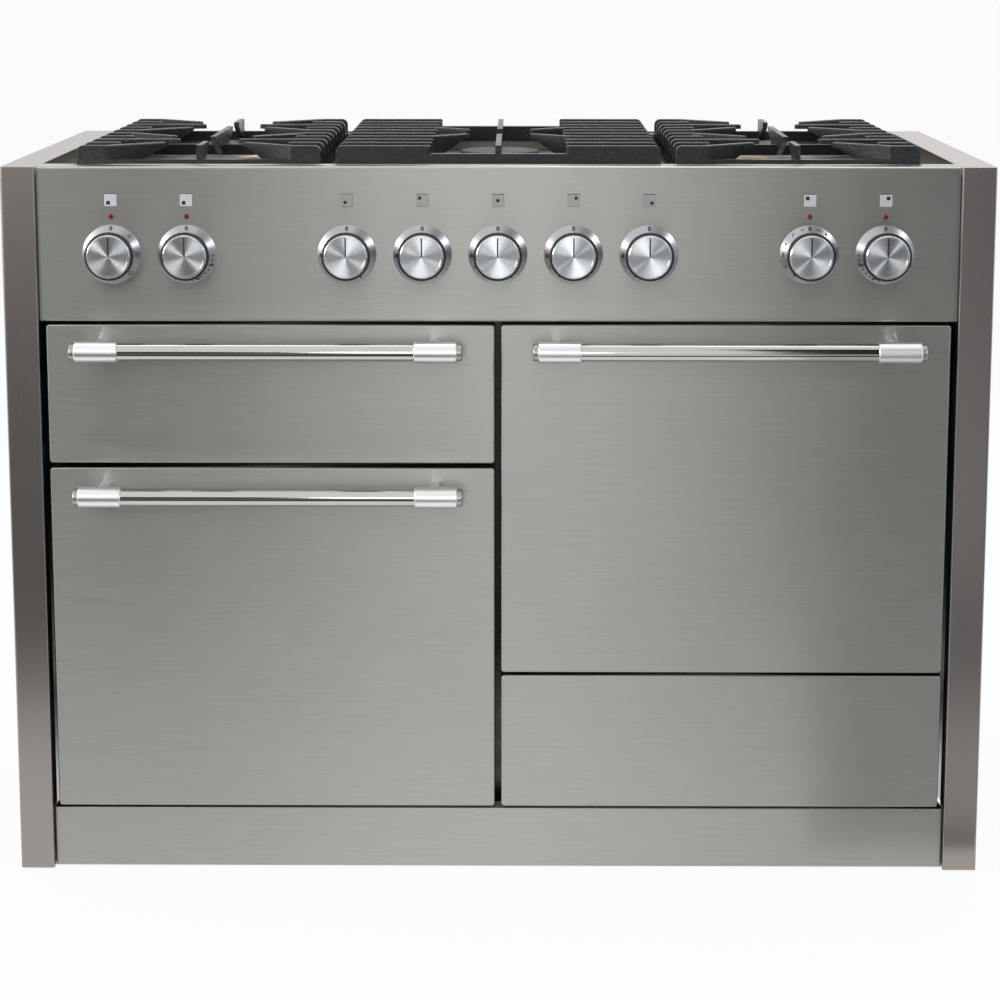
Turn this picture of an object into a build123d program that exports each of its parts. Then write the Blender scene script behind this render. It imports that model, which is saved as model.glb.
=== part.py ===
"""Range cooker with a five-burner gas hob, a grill, two ovens and a storage drawer.

Millimetres, +Z up, the front faces -Y, origin on the floor under the middle of the overall box.
"""

import os
from math import atan2, cos, degrees, hypot, radians

from build123d import *

os.makedirs("parts", exist_ok=True)

# Overall casing
overall_width = 1208.0
body_depth = 600.0
handle_reach = 68.0
side_width = 42.0
side_proud = 8.0
side_lip = 30.0
sheet = 1.5
panel_edge_radius = 3.0
back_inset = 20.0

# Heights of the front, from the floor up
floor_gap = 4.0
plinth_height = 77.0
plinth_gap = 3.0
left_door_height = 436.0
stack_gap = 6.0
grill_door_height = 173.0
fascia_gap = 4.0
fascia_height = 190.0
drawer_front_height = 171.0
drawer_gap = 4.0

# Gaps across the front
door_side_gap = 7.0
door_centre_gap = 8.0

# Doors
pan_depth = 22.0
pan_corner_radius = 4.0
pan_edge_radius = 2.0
liner_depth = 27.0
liner_margin = 16.0
liner_inset = 2.0
liner_edge_radius = 6.0
hinge_setback = 10.0
hinge_rise = 36.0
hinge_edge_offset = 25.0
hinge_pin_radius = 3.5
hinge_arm_thickness = 5.0
hinge_arm_half_height = 6.0
ear_thickness = 3.0
ear_radius = 8.0
ear_height = 32.0
ear_gap = 0.6
running_clearance = 0.05
pin_spare = 2.0
liner_rise = 9.0

# Handles
handle_length = 474.0
handle_bar_radius = 11.0
handle_drop = 25.0
bracket_length = 52.0
bracket_radius = 13.0
bracket_post_radius = 9.0
handle_cap_length = 6.5
handle_cap_radius = 10.5

# Cavities and the frame they hang in
frame_setback = 54.0
frame_depth = 20.0
cavity_width = 466.0
cavity_depth = 430.0
grill_depth = 400.0
cavity_flange = 10.0
cavity_radius = 14.0
cavity_rise = 20.0
cavity_headroom = 15.0
frame_clearance = 3.0
rail_margin = 4.0
rail_overlap = 8.0
seal_width = 7.0
seal_thickness = 3.2
seal_offset = 1.5

# Control panel
knob_axis_drop = 107.0
gas_knob_pitch = 92.0
electric_inner_x = 379.0
electric_outer_x = 471.0
fascia_top_depth = 40.0
fascia_bottom_depth = 25.0
fascia_edge_radius = 3.0
bezel_radius = 36.0
bezel_inner_radius = 25.5
bezel_rim = 1.2
bezel_height = 5.5
bezel_land = 1.5
knob_radius = 26.5
knob_length = 19.0
knob_gap = 5.5
knob_edge_radius = 1.5
knob_dish = 0.4
knob_draft = 1.2
mark_width = 1.8
mark_depth = 0.8
spindle_radius = 3.0
spindle_hole_radius = 6.0
push_travel = 4.0
push_spare = 0.5
spindle_grip = 9.0
spindle_seat = 26.0
tap_size = 26.0
tap_length = 40.0
tap_chamfer = 3.0
gas_rail_size = 25.0
switch_size = 46.0
switch_length = 38.0
lamp_radius = 3.25
lamp_rise = 46.5
lamp_dome = 1.6
lamp_rim = 0.6

# Hob
hob_drop = 21.0
flue_depth = 60.0
flue_slot_pitch = 14.4
flue_slot_width = 9.0
flue_slot_length = 34.0
support_rise = 22.0
support_front = 50.0
rib_pitch = 53.4
rib_count = 10
rib_thickness = 10.0
side_support_width = 301.0
centre_support_width = 400.0
support_gap = 18.0
ring_width = 12.0
ring_top_drop = 17.0
ring_height = 14.0
ring_inset = 1.0
rib_shoulder_radius = 8.0
finger_root = 36.0
finger_run = 61.0
finger_cross = 52.0
finger_tip_thickness = 6.0
finger_underside = 57.0
plate_finger_thickness = 7.0
rib_edge = 1.2
burner_clear = 37.0
short_finger = 46.0
support_foot_radius = 7.0
wok_block = 117.0
wok_finger_tip = 45.0
wok_bar_drop = 10.0
burner_head_height = 13.0
burner_cap_height = 5.5
burner_cap_edge = 2.0
burner_skirt = 9.0
burner_skirt_height = 5.0
burner_cap_overhang = 3.0
rapid_cap_radius = 41.5
medium_cap_radius = 35.0
small_cap_radius = 28.5
wok_cap_radius = 52.0
port_density = 0.5
port_width = 2.5
port_depth = 4.0

# Base, plinth, feet and drawer
plinth_setback = 2.0
plinth_depth = 25.0
plinth_end_gap = 1.0
base_rail = 38.0
base_rail_wall = 2.0
foot_radius = 22.0
foot_height = 9.0
foot_stem_radius = 6.0
foot_edge_radius = 2.0
foot_boss_radius = 11.0
foot_boss_height = 14.0
foot_inset = 34.0
foot_travel = 15.0
base_clearance = 16.0
drawer_box_depth = 470.0
drawer_box_drop = 70.0
drawer_floor_rise = 20.0
drawer_box_gap = 14.0
runner_size = 11.0
runner_clearance = 0.3

# Oven fittings
shelf_wire = 2.5
shelf_bars = 11
shelf_setback = 18.0
ladder_inset = 30.0
ladder_wire = 3.0
ladder_rungs = 4
shelf_clearance = 0.3
fan_radius = 72.0
fan_blades = 10
fan_hub_radius = 14.0
fan_depth = 26.0
fan_rim = 3.0
fan_cover_size = 250.0
fan_cover_gap = 58.0
fan_cover_chamfer = 3.0
fan_wall_gap = 10.0
grille_slots = 16
grille_slot_width = 6.0
outlet_width = 24.0
element_radius = 3.25
element_ring_radius = 96.0
element_wall_gap = 24.0
element_leg_offset = 12.0
element_ceiling_gap = 16.0
element_front_gap = 60.0
element_turn_gap = 40.0
motor_radius = 32.0
motor_length = 48.0
shaft_radius = 3.0
shaft_hole_radius = 9.0
grill_pan_height = 36.0
grill_pan_gap = 2.0
grill_run_pitch = 60.0
grill_runs = 6
trivet_bars = 9

# Services at the rear
inlet_radius = 10.5
inlet_length = 14.0
inlet_side_offset = 80.0
inlet_clearance = 0.5
inlet_collar = 5.0
inlet_neck_length = 1.5
inlet_neck_depth = 1.0
pipe_radius = 7.0
pipe_bend = 40.0
louvre_length = 160.0
louvre_width = 6.0
louvre_pitch = 18.0
louvre_count = 8

# Casing planes
half_width = overall_width / 2
inner_half = half_width - side_width
rear = (body_depth + handle_reach) / 2
front = rear - body_depth
back_face = rear - back_inset
inlet_x = inner_half - inlet_side_offset
inlet_shoulder = back_face + inlet_neck_length

# Levels
plinth_top = floor_gap + plinth_height
doors_bottom = plinth_top + plinth_gap
grill_door_bottom = doors_bottom + left_door_height + stack_gap
doors_top = grill_door_bottom + grill_door_height
fascia_bottom = doors_top + fascia_gap
rim = fascia_bottom + fascia_height
right_door_bottom = doors_bottom + drawer_front_height + drawer_gap
right_door_height = doors_top - right_door_bottom
hob_level = rim - hob_drop
support_top = rim + support_rise
knob_axis = rim - knob_axis_drop

# Door columns
door_width = inner_half - door_side_gap - door_centre_gap / 2
column_x = (door_centre_gap + door_width) / 2
hinge_offset = door_width / 2 - hinge_edge_offset
hinge_y = front + hinge_setback
pan_back = front + pan_depth
frame_face = front + frame_setback
flange_face = frame_face - sheet
frame_back = frame_face + frame_depth

# Door bottoms, heights and column signs, by name
doors = {
    "grill": (-column_x, grill_door_bottom, grill_door_height),
    "left_oven": (-column_x, doors_bottom, left_door_height),
    "right_oven": (column_x, right_door_bottom, right_door_height),
}


def hinge_level(bottom):
    """Height of a door's hinge axis above the floor."""
    return bottom + hinge_rise


def cavity_span(name):
    """Lower and upper inside levels of a cavity behind a door."""
    x, bottom, height = doors[name]
    return hinge_level(bottom) + cavity_rise, bottom + height - cavity_headroom


def block(x0, x1, y0, y1, z0, z1, mode=Mode.ADD):
    """A block between two corners."""
    with Locations(((x0 + x1) / 2, (y0 + y1) / 2, (z0 + z1) / 2)):
        Box(x1 - x0, y1 - y0, z1 - z0, mode=mode)


def rod_along_x(x0, x1, y, z, radius, mode=Mode.ADD):
    """A round rod along X."""
    with Locations(Location(((x0 + x1) / 2, y, z), (0, 90, 0))):
        Cylinder(radius, x1 - x0, mode=mode)


def rod_along_y(x, y0, y1, z, radius, mode=Mode.ADD):
    """A round rod along Y."""
    with Locations(Location((x, (y0 + y1) / 2, z), (90, 0, 0))):
        Cylinder(radius, y1 - y0, mode=mode)


def rod_along_z(x, y, z0, z1, radius, mode=Mode.ADD):
    """A round rod along Z."""
    with Locations((x, y, (z0 + z1) / 2)):
        Cylinder(radius, z1 - z0, mode=mode)


def write(piece, name):
    """Label a finished piece and write its STEP file."""
    piece.label = name
    export_step(piece, f"parts/{name}.step")


def write_group(pieces, name):
    """Write separate solids that share one node."""
    write(Compound(children=pieces), name)


def side_panel(sign):
    """Folded side panel: outer skin, front and rear returns with lips, and a top return."""
    y0 = front - side_proud
    x_outer = sign * half_width
    x_inner = sign * inner_half
    x_mid = (x_outer + x_inner) / 2
    y_mid = (y0 + rear) / 2
    with BuildPart() as panel:
        with BuildSketch(Plane.XY.offset(floor_gap)):
            with Locations((x_mid, y_mid)):
                Rectangle(side_width, rear - y0)
        extrude(amount=rim - floor_gap)
        outer_edges = panel.edges().filter_by(Axis.Z).sort_by(Axis.X)
        fillet(outer_edges[:2] if sign < 0 else outer_edges[-2:], panel_edge_radius)
        front_face = panel.faces().filter_by(Axis.Y).sort_by(Axis.Y)[0]
        fillet(front_face.edges().filter_by(Axis.Z).sort_by(Axis.X)[0 if sign > 0 else -1], sheet)
        with BuildSketch(Plane.XY.offset(floor_gap)):
            with Locations((x_mid, y_mid)):
                Rectangle(side_width - 2 * sheet, rear - y0 - 2 * sheet)
        extrude(amount=rim - floor_gap - sheet, mode=Mode.SUBTRACT)
        with BuildSketch(Plane.XY.offset(floor_gap)):
            with Locations((x_inner, y_mid)):
                Rectangle(4 * sheet, rear - y0 - 2 * side_lip)
        extrude(amount=rim - floor_gap - sheet, mode=Mode.SUBTRACT)
    return panel.part


for side, sign in (("left", -1), ("right", 1)):
    write(side_panel(sign), f"side_panel_{side}")


def front_pan(x, bottom, height, notched):
    """Folded front pan of a door or drawer, open at the back, with rounded front edges."""
    middle = (x, bottom + height / 2)
    with BuildPart() as pan:
        with BuildSketch(Plane.XZ.offset(-front)):
            with Locations(middle):
                RectangleRounded(door_width, height, pan_corner_radius)
        extrude(amount=-pan_depth)
        fillet(pan.faces().sort_by(Axis.Y)[0].edges(), pan_edge_radius)
        with BuildSketch(Plane.XZ.offset(-pan_back)):
            with Locations(middle):
                Rectangle(door_width - 2 * sheet, height - 2 * sheet)
                RectangleRounded(door_width - 2 * sheet, height - 2 * sheet, pan_corner_radius - sheet,
                                 mode=Mode.INTERSECT)
        extrude(amount=pan_depth - sheet, mode=Mode.SUBTRACT)
        if notched:
            notch = hinge_arm_thickness / 2 + 2 * ear_gap
            for hinge_x in (x - hinge_offset, x + hinge_offset):
                block(hinge_x - notch, hinge_x + notch, front + 2 * sheet, pan_back + sheet,
                      bottom - sheet, bottom + 2 * sheet, Mode.SUBTRACT)
    return pan.part


def door_liner(x, bottom, height):
    """Pressed inner door: a flange on the back of the pan, a raised tray, and ears on the hinge pins."""
    axis = hinge_level(bottom)
    low = axis + liner_rise
    high = bottom + height - liner_inset
    flange_width = door_width - 2 * liner_inset
    tray_width = flange_width - 2 * liner_margin
    tray_high = high - liner_margin
    tray_middle = (x, (low + tray_high) / 2)
    with BuildPart() as liner:
        with BuildSketch(Plane.XZ.offset(-pan_back)):
            with Locations((x, (low + high) / 2)):
                Rectangle(flange_width, high - low)
        extrude(amount=-sheet)
        with BuildSketch(Plane.XZ.offset(-pan_back)):
            with Locations(tray_middle):
                Rectangle(tray_width, tray_high - low)
        extrude(amount=-liner_depth)
        fillet(liner.faces().sort_by(Axis.Y)[-1].edges(), liner_edge_radius)
        with BuildSketch(Plane.XZ.offset(-pan_back)):
            with Locations(tray_middle):
                Rectangle(tray_width - 2 * liner_edge_radius, tray_high - low - 2 * liner_edge_radius)
        extrude(amount=-(liner_depth - sheet), mode=Mode.SUBTRACT)
        ear_reach = pan_back + sheet
        inner = hinge_arm_thickness / 2 + ear_gap
        for hinge_x in (x - hinge_offset, x + hinge_offset):
            for start in (hinge_x - inner - ear_thickness, hinge_x + inner):
                with BuildSketch(Plane.YZ.offset(start)):
                    with Locations((hinge_y, axis)):
                        Circle(ear_radius)
                    with Locations((hinge_y, axis + ear_height / 2)):
                        Rectangle(2 * ear_radius, ear_height)
                    ear_start = hinge_y - ear_radius
                    with Locations(((ear_start + ear_reach) / 2, axis + (liner_rise + ear_height) / 2)):
                        Rectangle(ear_reach - ear_start, ear_height - liner_rise)
                    with Locations((hinge_y, axis)):
                        Circle(hinge_pin_radius + running_clearance, mode=Mode.SUBTRACT)
                extrude(amount=ear_thickness)
    return liner.part


def bar_handle(x, top):
    """Bar handle: a round bar between two end brackets, each with a post to the door and an end cap."""
    z = top - handle_drop
    y = front - handle_reach + bracket_radius
    bracket_end = handle_length / 2 - handle_cap_length
    bracket_start = bracket_end - bracket_length
    with BuildPart() as bar:
        rod_along_x(x - bracket_start, x + bracket_start, y, z, handle_bar_radius)
    pieces = [bar.part]
    for sign in (-1, 1):
        x0, x1 = sorted((x + sign * bracket_start, x + sign * bracket_end))
        post_x = (x0 + x1) / 2
        with BuildPart() as bracket:
            rod_along_x(x0, x1, y, z, bracket_radius)
            chamfer(bracket.edges().filter_by(GeomType.CIRCLE), 1.0)
            rod_along_y(post_x, y, front, z, bracket_post_radius)
        pieces.append(bracket.part)
        x2, x3 = sorted((x + sign * bracket_end, x + sign * handle_length / 2))
        with BuildPart() as cap:
            rod_along_x(x2, x3, y, z, handle_cap_radius)
            fillet(cap.edges().filter_by(GeomType.CIRCLE).sort_by(Axis.X)[0 if sign < 0 else -1], 2.0)
        pieces.append(cap.part)
    return pieces


for name, (x, bottom, height) in doors.items():
    write(front_pan(x, bottom, height, True), f"{name}_door_front")
    write(door_liner(x, bottom, height), f"{name}_door_liner")
    write_group(bar_handle(x, bottom + height), f"{name}_door_handle")

write(front_pan(column_x, doors_bottom, drawer_front_height, False), "drawer_front")

# Hinge arms on the front frame, with the pins that the doors turn on
hinge_pieces = []
for x, bottom, height in doors.values():
    axis = hinge_level(bottom)
    pin_half = hinge_arm_thickness / 2 + ear_gap + ear_thickness + pin_spare
    for hinge_x in (x - hinge_offset, x + hinge_offset):
        with BuildPart() as hinge:
            with BuildSketch(Plane.YZ.offset(hinge_x)):
                with Locations(((hinge_y + frame_face) / 2, axis)):
                    Rectangle(frame_face - hinge_y, 2 * hinge_arm_half_height)
                with Locations((hinge_y, axis)):
                    Circle(hinge_arm_half_height)
            extrude(amount=hinge_arm_thickness / 2, both=True)
            rod_along_x(hinge_x - pin_half, hinge_x + pin_half, hinge_y, axis, hinge_pin_radius)
        hinge_pieces.append(hinge.part)
write_group(hinge_pieces, "door_hinges")

# Base frame of open channels, with a boss for the stem of each foot
base_top = base_clearance + base_rail
base_front = front + plinth_setback + plinth_depth
rail_x = inner_half - base_rail / 2
foot_places = {
    "front_left": (-rail_x, frame_back + foot_inset),
    "front_right": (rail_x, frame_back + foot_inset),
    "rear_left": (-rail_x, back_face - sheet - foot_inset),
    "rear_right": (rail_x, back_face - sheet - foot_inset),
}


def channel(x0, x1, y0, y1, along_y):
    """Open-bottomed channel between two corners."""
    wall_x = base_rail_wall if along_y else -sheet
    wall_y = -sheet if along_y else base_rail_wall
    block(x0, x1, y0, y1, base_clearance, base_top)
    block(x0 + wall_x, x1 - wall_x, y0 + wall_y, y1 - wall_y,
          base_clearance - sheet, base_top - base_rail_wall, Mode.SUBTRACT)


base_pieces = []
for sign in (-1, 1):
    with BuildPart() as rail:
        middle = sign * rail_x
        channel(middle - base_rail / 2, middle + base_rail / 2, base_front, back_face - sheet, True)
        for x, y in foot_places.values():
            if x * sign > 0:
                rod_along_z(x, y, base_top - foot_boss_height, base_top, foot_boss_radius)
                rod_along_z(x, y, base_clearance, base_top + sheet, foot_stem_radius + running_clearance,
                            Mode.SUBTRACT)
    base_pieces.append(rail.part)
cross_half = inner_half - base_rail
for y0 in (base_front, back_face - sheet - base_rail):
    with BuildPart() as cross_rail:
        channel(-cross_half, cross_half, y0, y0 + base_rail, False)
    base_pieces.append(cross_rail.part)
write_group(base_pieces, "base_frame")

for place, (x, y) in foot_places.items():
    with BuildPart() as foot:
        rod_along_z(x, y, 0, foot_height, foot_radius)
        fillet(foot.edges().filter_by(GeomType.CIRCLE).sort_by(Axis.Z)[-1], foot_edge_radius)
        rod_along_z(x, y, foot_height, base_top + foot_travel + sheet, foot_stem_radius)
    write(foot.part, f"foot_{place}")

with BuildPart() as plinth:
    plinth_half = inner_half - plinth_end_gap
    plinth_face = front + plinth_setback
    block(-plinth_half, plinth_half, plinth_face, plinth_face + plinth_depth, floor_gap, plinth_top)
    fillet(plinth.faces().sort_by(Axis.Y)[0].edges(), panel_edge_radius / 2)
    block(-plinth_half + sheet, plinth_half - sheet, plinth_face + sheet, plinth_face + plinth_depth + sheet,
          floor_gap + sheet, plinth_top - sheet, Mode.SUBTRACT)
write(plinth.part, "plinth_panel")

# Front frame: uprights on the base, and rails between the cavities
cavity_half = cavity_width / 2 + sheet
upright_outer = column_x + cavity_half + frame_clearance
upright_inner = column_x - cavity_half - frame_clearance
rail_gap = sheet + rail_margin
left_low, left_high = cavity_span("left_oven")
right_low, right_high = cavity_span("right_oven")
grill_low, grill_high = cavity_span("grill")
drawer_rail = doors_bottom + drawer_front_height - rail_overlap
frame_bars = [
    (-inner_half, -upright_outer, base_top, fascia_bottom),
    (-upright_inner, upright_inner, base_top, fascia_bottom),
    (upright_outer, inner_half, base_top, fascia_bottom),
    (-upright_outer, -upright_inner, base_top, left_low - rail_gap),
    (-upright_outer, -upright_inner, left_high + rail_gap, grill_low - rail_gap),
    (-upright_outer, -upright_inner, grill_high + rail_gap, fascia_bottom),
    (upright_inner, upright_outer, drawer_rail, right_low - rail_gap),
    (upright_inner, upright_outer, right_high + rail_gap, fascia_bottom),
]
frame_pieces = []
for x0, x1, z0, z1 in frame_bars:
    with BuildPart() as frame_bar:
        block(x0, x1, frame_face, frame_back, z0, z1)
    frame_pieces.append(frame_bar.part)
write_group(frame_pieces, "front_frame")


def cavity(name, depth, fan):
    """Enamelled oven box, open at the front, with a flange on the frame and a shaft hole for a fan."""
    x = doors[name][0]
    low, high = cavity_span(name)
    middle = (x, (low + high) / 2)
    height = high - low
    inner_back = frame_face + depth
    with BuildPart() as box:
        with BuildSketch(Plane.XZ.offset(-frame_face)):
            with Locations(middle):
                RectangleRounded(cavity_width + 2 * sheet, height + 2 * sheet, cavity_radius + sheet)
        extrude(amount=-(depth + sheet))
        with BuildSketch(Plane.XZ.offset(-flange_face)):
            with Locations(middle):
                flange = sheet + cavity_flange
                Rectangle(cavity_width + 2 * flange, height + 2 * flange)
        extrude(amount=-sheet)
        with BuildSketch(Plane.XZ.offset(-flange_face)):
            with Locations(middle):
                RectangleRounded(cavity_width, height, cavity_radius)
        extrude(amount=-(depth + sheet), mode=Mode.SUBTRACT)
        if fan:
            rod_along_y(x, inner_back - sheet, inner_back + 2 * sheet, middle[1], shaft_hole_radius,
                        Mode.SUBTRACT)
    return box.part


write(cavity("grill", grill_depth, False), "grill_cavity")
write(cavity("left_oven", cavity_depth, True), "left_oven_cavity")
write(cavity("right_oven", cavity_depth, True), "right_oven_cavity")

# Door seals round the mouths of the cavities
seal_pieces = []
for name in doors:
    low, high = cavity_span(name)
    inner_width = cavity_width + 2 * seal_offset
    inner_height = high - low + 2 * seal_offset
    with BuildPart() as seal:
        with BuildSketch(Plane.XZ.offset(-flange_face)):
            with Locations((doors[name][0], (low + high) / 2)):
                RectangleRounded(inner_width + 2 * seal_width, inner_height + 2 * seal_width,
                                 cavity_radius + seal_offset + seal_width)
                RectangleRounded(inner_width, inner_height, cavity_radius + seal_offset, mode=Mode.SUBTRACT)
        extrude(amount=seal_thickness)
    seal_pieces.append(seal.part)
write_group(seal_pieces, "door_seals")

with BuildPart() as back_panel:
    block(-inner_half, inner_half, back_face - sheet, back_face, base_clearance, rim - sheet)
    with BuildSketch(Plane.XZ.offset(-back_face)):
        with Locations((inlet_x, knob_axis)):
            Circle(inlet_radius + inlet_clearance)
    extrude(amount=2 * sheet, mode=Mode.SUBTRACT)
    with BuildSketch(Plane.XZ.offset(-back_face)):
        for x in (-column_x, column_x):
            with Locations((x, (left_low + right_high) / 2)):
                with GridLocations(0, louvre_pitch, 1, louvre_count):
                    SlotOverall(louvre_length, louvre_width)
    extrude(amount=2 * sheet, mode=Mode.SUBTRACT)
write(back_panel.part, "back_panel")

# Control panel: folded fascia with a rounded top edge, drilled for spindles and lamps
gas_knob_xs = [(place - 2) * gas_knob_pitch for place in range(5)]
electric_knobs = {
    "left_oven_function": -electric_outer_x,
    "left_oven_heat": -electric_inner_x,
    "grill_heat": electric_inner_x,
    "right_oven_heat": electric_outer_x,
}
fascia_back = front + sheet
lamp_level = knob_axis + lamp_rise
with BuildPart() as fascia:
    block(-inner_half, inner_half, front, front + fascia_top_depth, fascia_bottom, rim)
    fillet(fascia.faces().sort_by(Axis.Y)[0].edges().filter_by(Axis.X), fascia_edge_radius)
    block(-inner_half - sheet, inner_half + sheet, fascia_back, front + fascia_top_depth + sheet,
          fascia_bottom + sheet, rim - sheet, Mode.SUBTRACT)
    block(-inner_half - sheet, inner_half + sheet, front + fascia_bottom_depth,
          front + fascia_top_depth + sheet, fascia_bottom - sheet, fascia_bottom + 2 * sheet, Mode.SUBTRACT)
    for x in gas_knob_xs + list(electric_knobs.values()):
        rod_along_y(x, front - sheet, fascia_back + sheet, knob_axis, spindle_hole_radius, Mode.SUBTRACT)
    for x in electric_knobs.values():
        rod_along_y(x, front - sheet, fascia_back + sheet, lamp_level, lamp_radius - lamp_rim, Mode.SUBTRACT)
write(fascia.part, "control_panel")


def turned(x, profile, mode=Mode.ADD):
    """Turn a profile of (radius, distance out from the fascia) points about a dial axis."""
    with BuildSketch(Plane.YZ.offset(x)) as outline:
        with BuildLine():
            Polyline([(front - out, knob_axis + radius) for radius, out in profile], close=True)
        make_face()
    revolve(outline.sketch, axis=Axis((x, 0, knob_axis), (0, 1, 0)), mode=mode)


bezel_pieces = []
for x in sorted(gas_knob_xs + list(electric_knobs.values())):
    with BuildPart() as bezel:
        turned(x, [(bezel_inner_radius, 0), (bezel_radius, 0), (bezel_radius, bezel_rim),
                   (bezel_inner_radius + bezel_land, bezel_height), (bezel_inner_radius, bezel_height)])
    bezel_pieces.append(bezel.part)
write_group(bezel_pieces, "knob_bezels")

knob_back = bezel_height + knob_gap
knob_face = knob_back + knob_length
spindle_tip = knob_back + spindle_grip


def knob_body(x):
    """Turned knob with a dished face, a rounded rim and a slot for the pointer line."""
    land = knob_radius - 2 * knob_edge_radius
    turned(x, [(0, knob_back), (knob_radius - knob_draft, knob_back),
               (knob_radius, knob_face - knob_edge_radius), (knob_radius - knob_edge_radius, knob_face),
               (land, knob_face), (land - knob_dish, knob_face - knob_dish), (0, knob_face - knob_dish)])
    slot_floor = front - knob_face + knob_dish + mark_depth
    block(x - mark_width / 2, x + mark_width / 2, front - knob_face - sheet, slot_floor,
          knob_axis, knob_axis + land, Mode.SUBTRACT)


tap_back = fascia_back + tap_length
tap_pieces = []
for place, x in enumerate(gas_knob_xs, 1):
    with BuildPart() as gas_knob:
        knob_body(x)
        rod_along_y(x, front - spindle_tip - push_travel - push_spare, front, knob_axis,
                    spindle_radius + running_clearance, Mode.SUBTRACT)
    write(gas_knob.part, f"gas_knob_{place}")
    with BuildPart() as spindle:
        rod_along_y(x, front - spindle_tip, fascia_back + spindle_seat, knob_axis, spindle_radius)
    write(spindle.part, f"gas_spindle_{place}")
    with BuildPart() as tap:
        block(x - tap_size / 2, x + tap_size / 2, fascia_back, tap_back,
              knob_axis - tap_size / 2, knob_axis + tap_size / 2)
        chamfer(tap.edges().filter_by(Axis.Y), tap_chamfer)
        rod_along_y(x, front, fascia_back + spindle_seat + running_clearance, knob_axis,
                    spindle_radius + running_clearance, Mode.SUBTRACT)
    tap_pieces.append(tap.part)

for name, x in electric_knobs.items():
    with BuildPart() as electric_knob:
        knob_body(x)
        rod_along_y(x, front - knob_back - sheet, fascia_back + spindle_seat, knob_axis, spindle_radius)
    write(electric_knob.part, f"{name}_knob")

switch_pieces = []
for x in electric_knobs.values():
    with BuildPart() as switch:
        block(x - switch_size / 2, x + switch_size / 2, fascia_back, fascia_back + switch_length,
              knob_axis - switch_size / 2, knob_axis + switch_size / 2)
        chamfer(switch.edges().filter_by(Axis.Y), tap_chamfer)
        rod_along_y(x, front, fascia_back + spindle_seat + running_clearance, knob_axis,
                    spindle_radius + running_clearance, Mode.SUBTRACT)
    switch_pieces.append(switch.part)
write_group(switch_pieces, "control_switches")

lamp_pieces = []
for x in electric_knobs.values():
    with BuildPart() as lamp:
        rod_along_y(x, front - lamp_dome, front, lamp_level, lamp_radius)
        fillet(lamp.edges().filter_by(GeomType.CIRCLE).sort_by(Axis.Y)[0], lamp_dome * 0.8)
        rod_along_y(x, front, fascia_back + sheet, lamp_level, lamp_radius - lamp_rim)
    lamp_pieces.append(lamp.part)
write_group(lamp_pieces, "indicator_lamps")

# Gas rail behind the taps, its feed pipe and the inlet spigot through the back panel
rail_half = gas_knob_xs[-1] + tap_size / 2
rail_back = tap_back + gas_rail_size
pipe_y = (tap_back + rail_back) / 2
with BuildPart() as gas_rail:
    block(-rail_half, rail_half, tap_back, rail_back,
          knob_axis - gas_rail_size / 2, knob_axis + gas_rail_size / 2)
    chamfer(gas_rail.edges().filter_by(Axis.X), tap_chamfer)
    with BuildLine():
        FilletPolyline((rail_half, pipe_y, knob_axis), (inlet_x, pipe_y, knob_axis),
                       (inlet_x, back_face - sheet - inlet_collar, knob_axis), radius=pipe_bend)
    with BuildSketch(Plane(origin=(rail_half, pipe_y, knob_axis), z_dir=(1, 0, 0))):
        Circle(pipe_radius)
    sweep()
    rod_along_y(inlet_x, back_face - sheet - inlet_collar, back_face - sheet, knob_axis,
                inlet_radius + inlet_collar)
    rod_along_y(inlet_x, back_face - sheet, inlet_shoulder, knob_axis, inlet_radius - inlet_neck_depth)
    rod_along_y(inlet_x, inlet_shoulder, inlet_shoulder + inlet_length, knob_axis, inlet_radius)
write_group([gas_rail.part] + tap_pieces, "gas_rail")

# Hob tray between the fascia, the side panels and the flue strip
tray_front = front + fascia_top_depth
flue_front = rear - flue_depth
with BuildPart() as hob_tray:
    block(-inner_half, inner_half, tray_front, flue_front, hob_level - sheet, rim)
    block(-inner_half + sheet, inner_half - sheet, tray_front + sheet, flue_front - sheet,
          hob_level, rim + sheet, Mode.SUBTRACT)
write(hob_tray.part, "hob_tray")

with BuildPart() as flue:
    block(-inner_half, inner_half, flue_front, rear, hob_level - sheet, rim)
    block(-inner_half - sheet, inner_half + sheet, flue_front + sheet, rear - sheet, hob_level - 2 * sheet,
          rim - sheet, Mode.SUBTRACT)
    slot_count = int((2 * inner_half - flue_slot_pitch) // flue_slot_pitch)
    with BuildSketch(Plane.XY.offset(rim)):
        with Locations((0, (flue_front + rear) / 2)):
            with GridLocations(flue_slot_pitch, 0, slot_count, 1):
                Rectangle(flue_slot_width, flue_slot_length)
    extrude(amount=-2 * sheet, mode=Mode.SUBTRACT)
write(flue.part, "flue_vent")

# Pan supports: cast ribs along both sides that reach in over the burners as fingers
rib_ys = [front + support_front + place * rib_pitch for place in range(rib_count)]
support_mid = (rib_ys[0] + rib_ys[-1]) / 2
support_length = rib_ys[-1] - rib_ys[0]
ring_top = support_top - ring_top_drop
ring_low = ring_top - ring_height
side_support_x = centre_support_width / 2 + support_gap + side_support_width / 2
front_burner_y = rib_ys[2]
rear_burner_y = rib_ys[-3]


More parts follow.
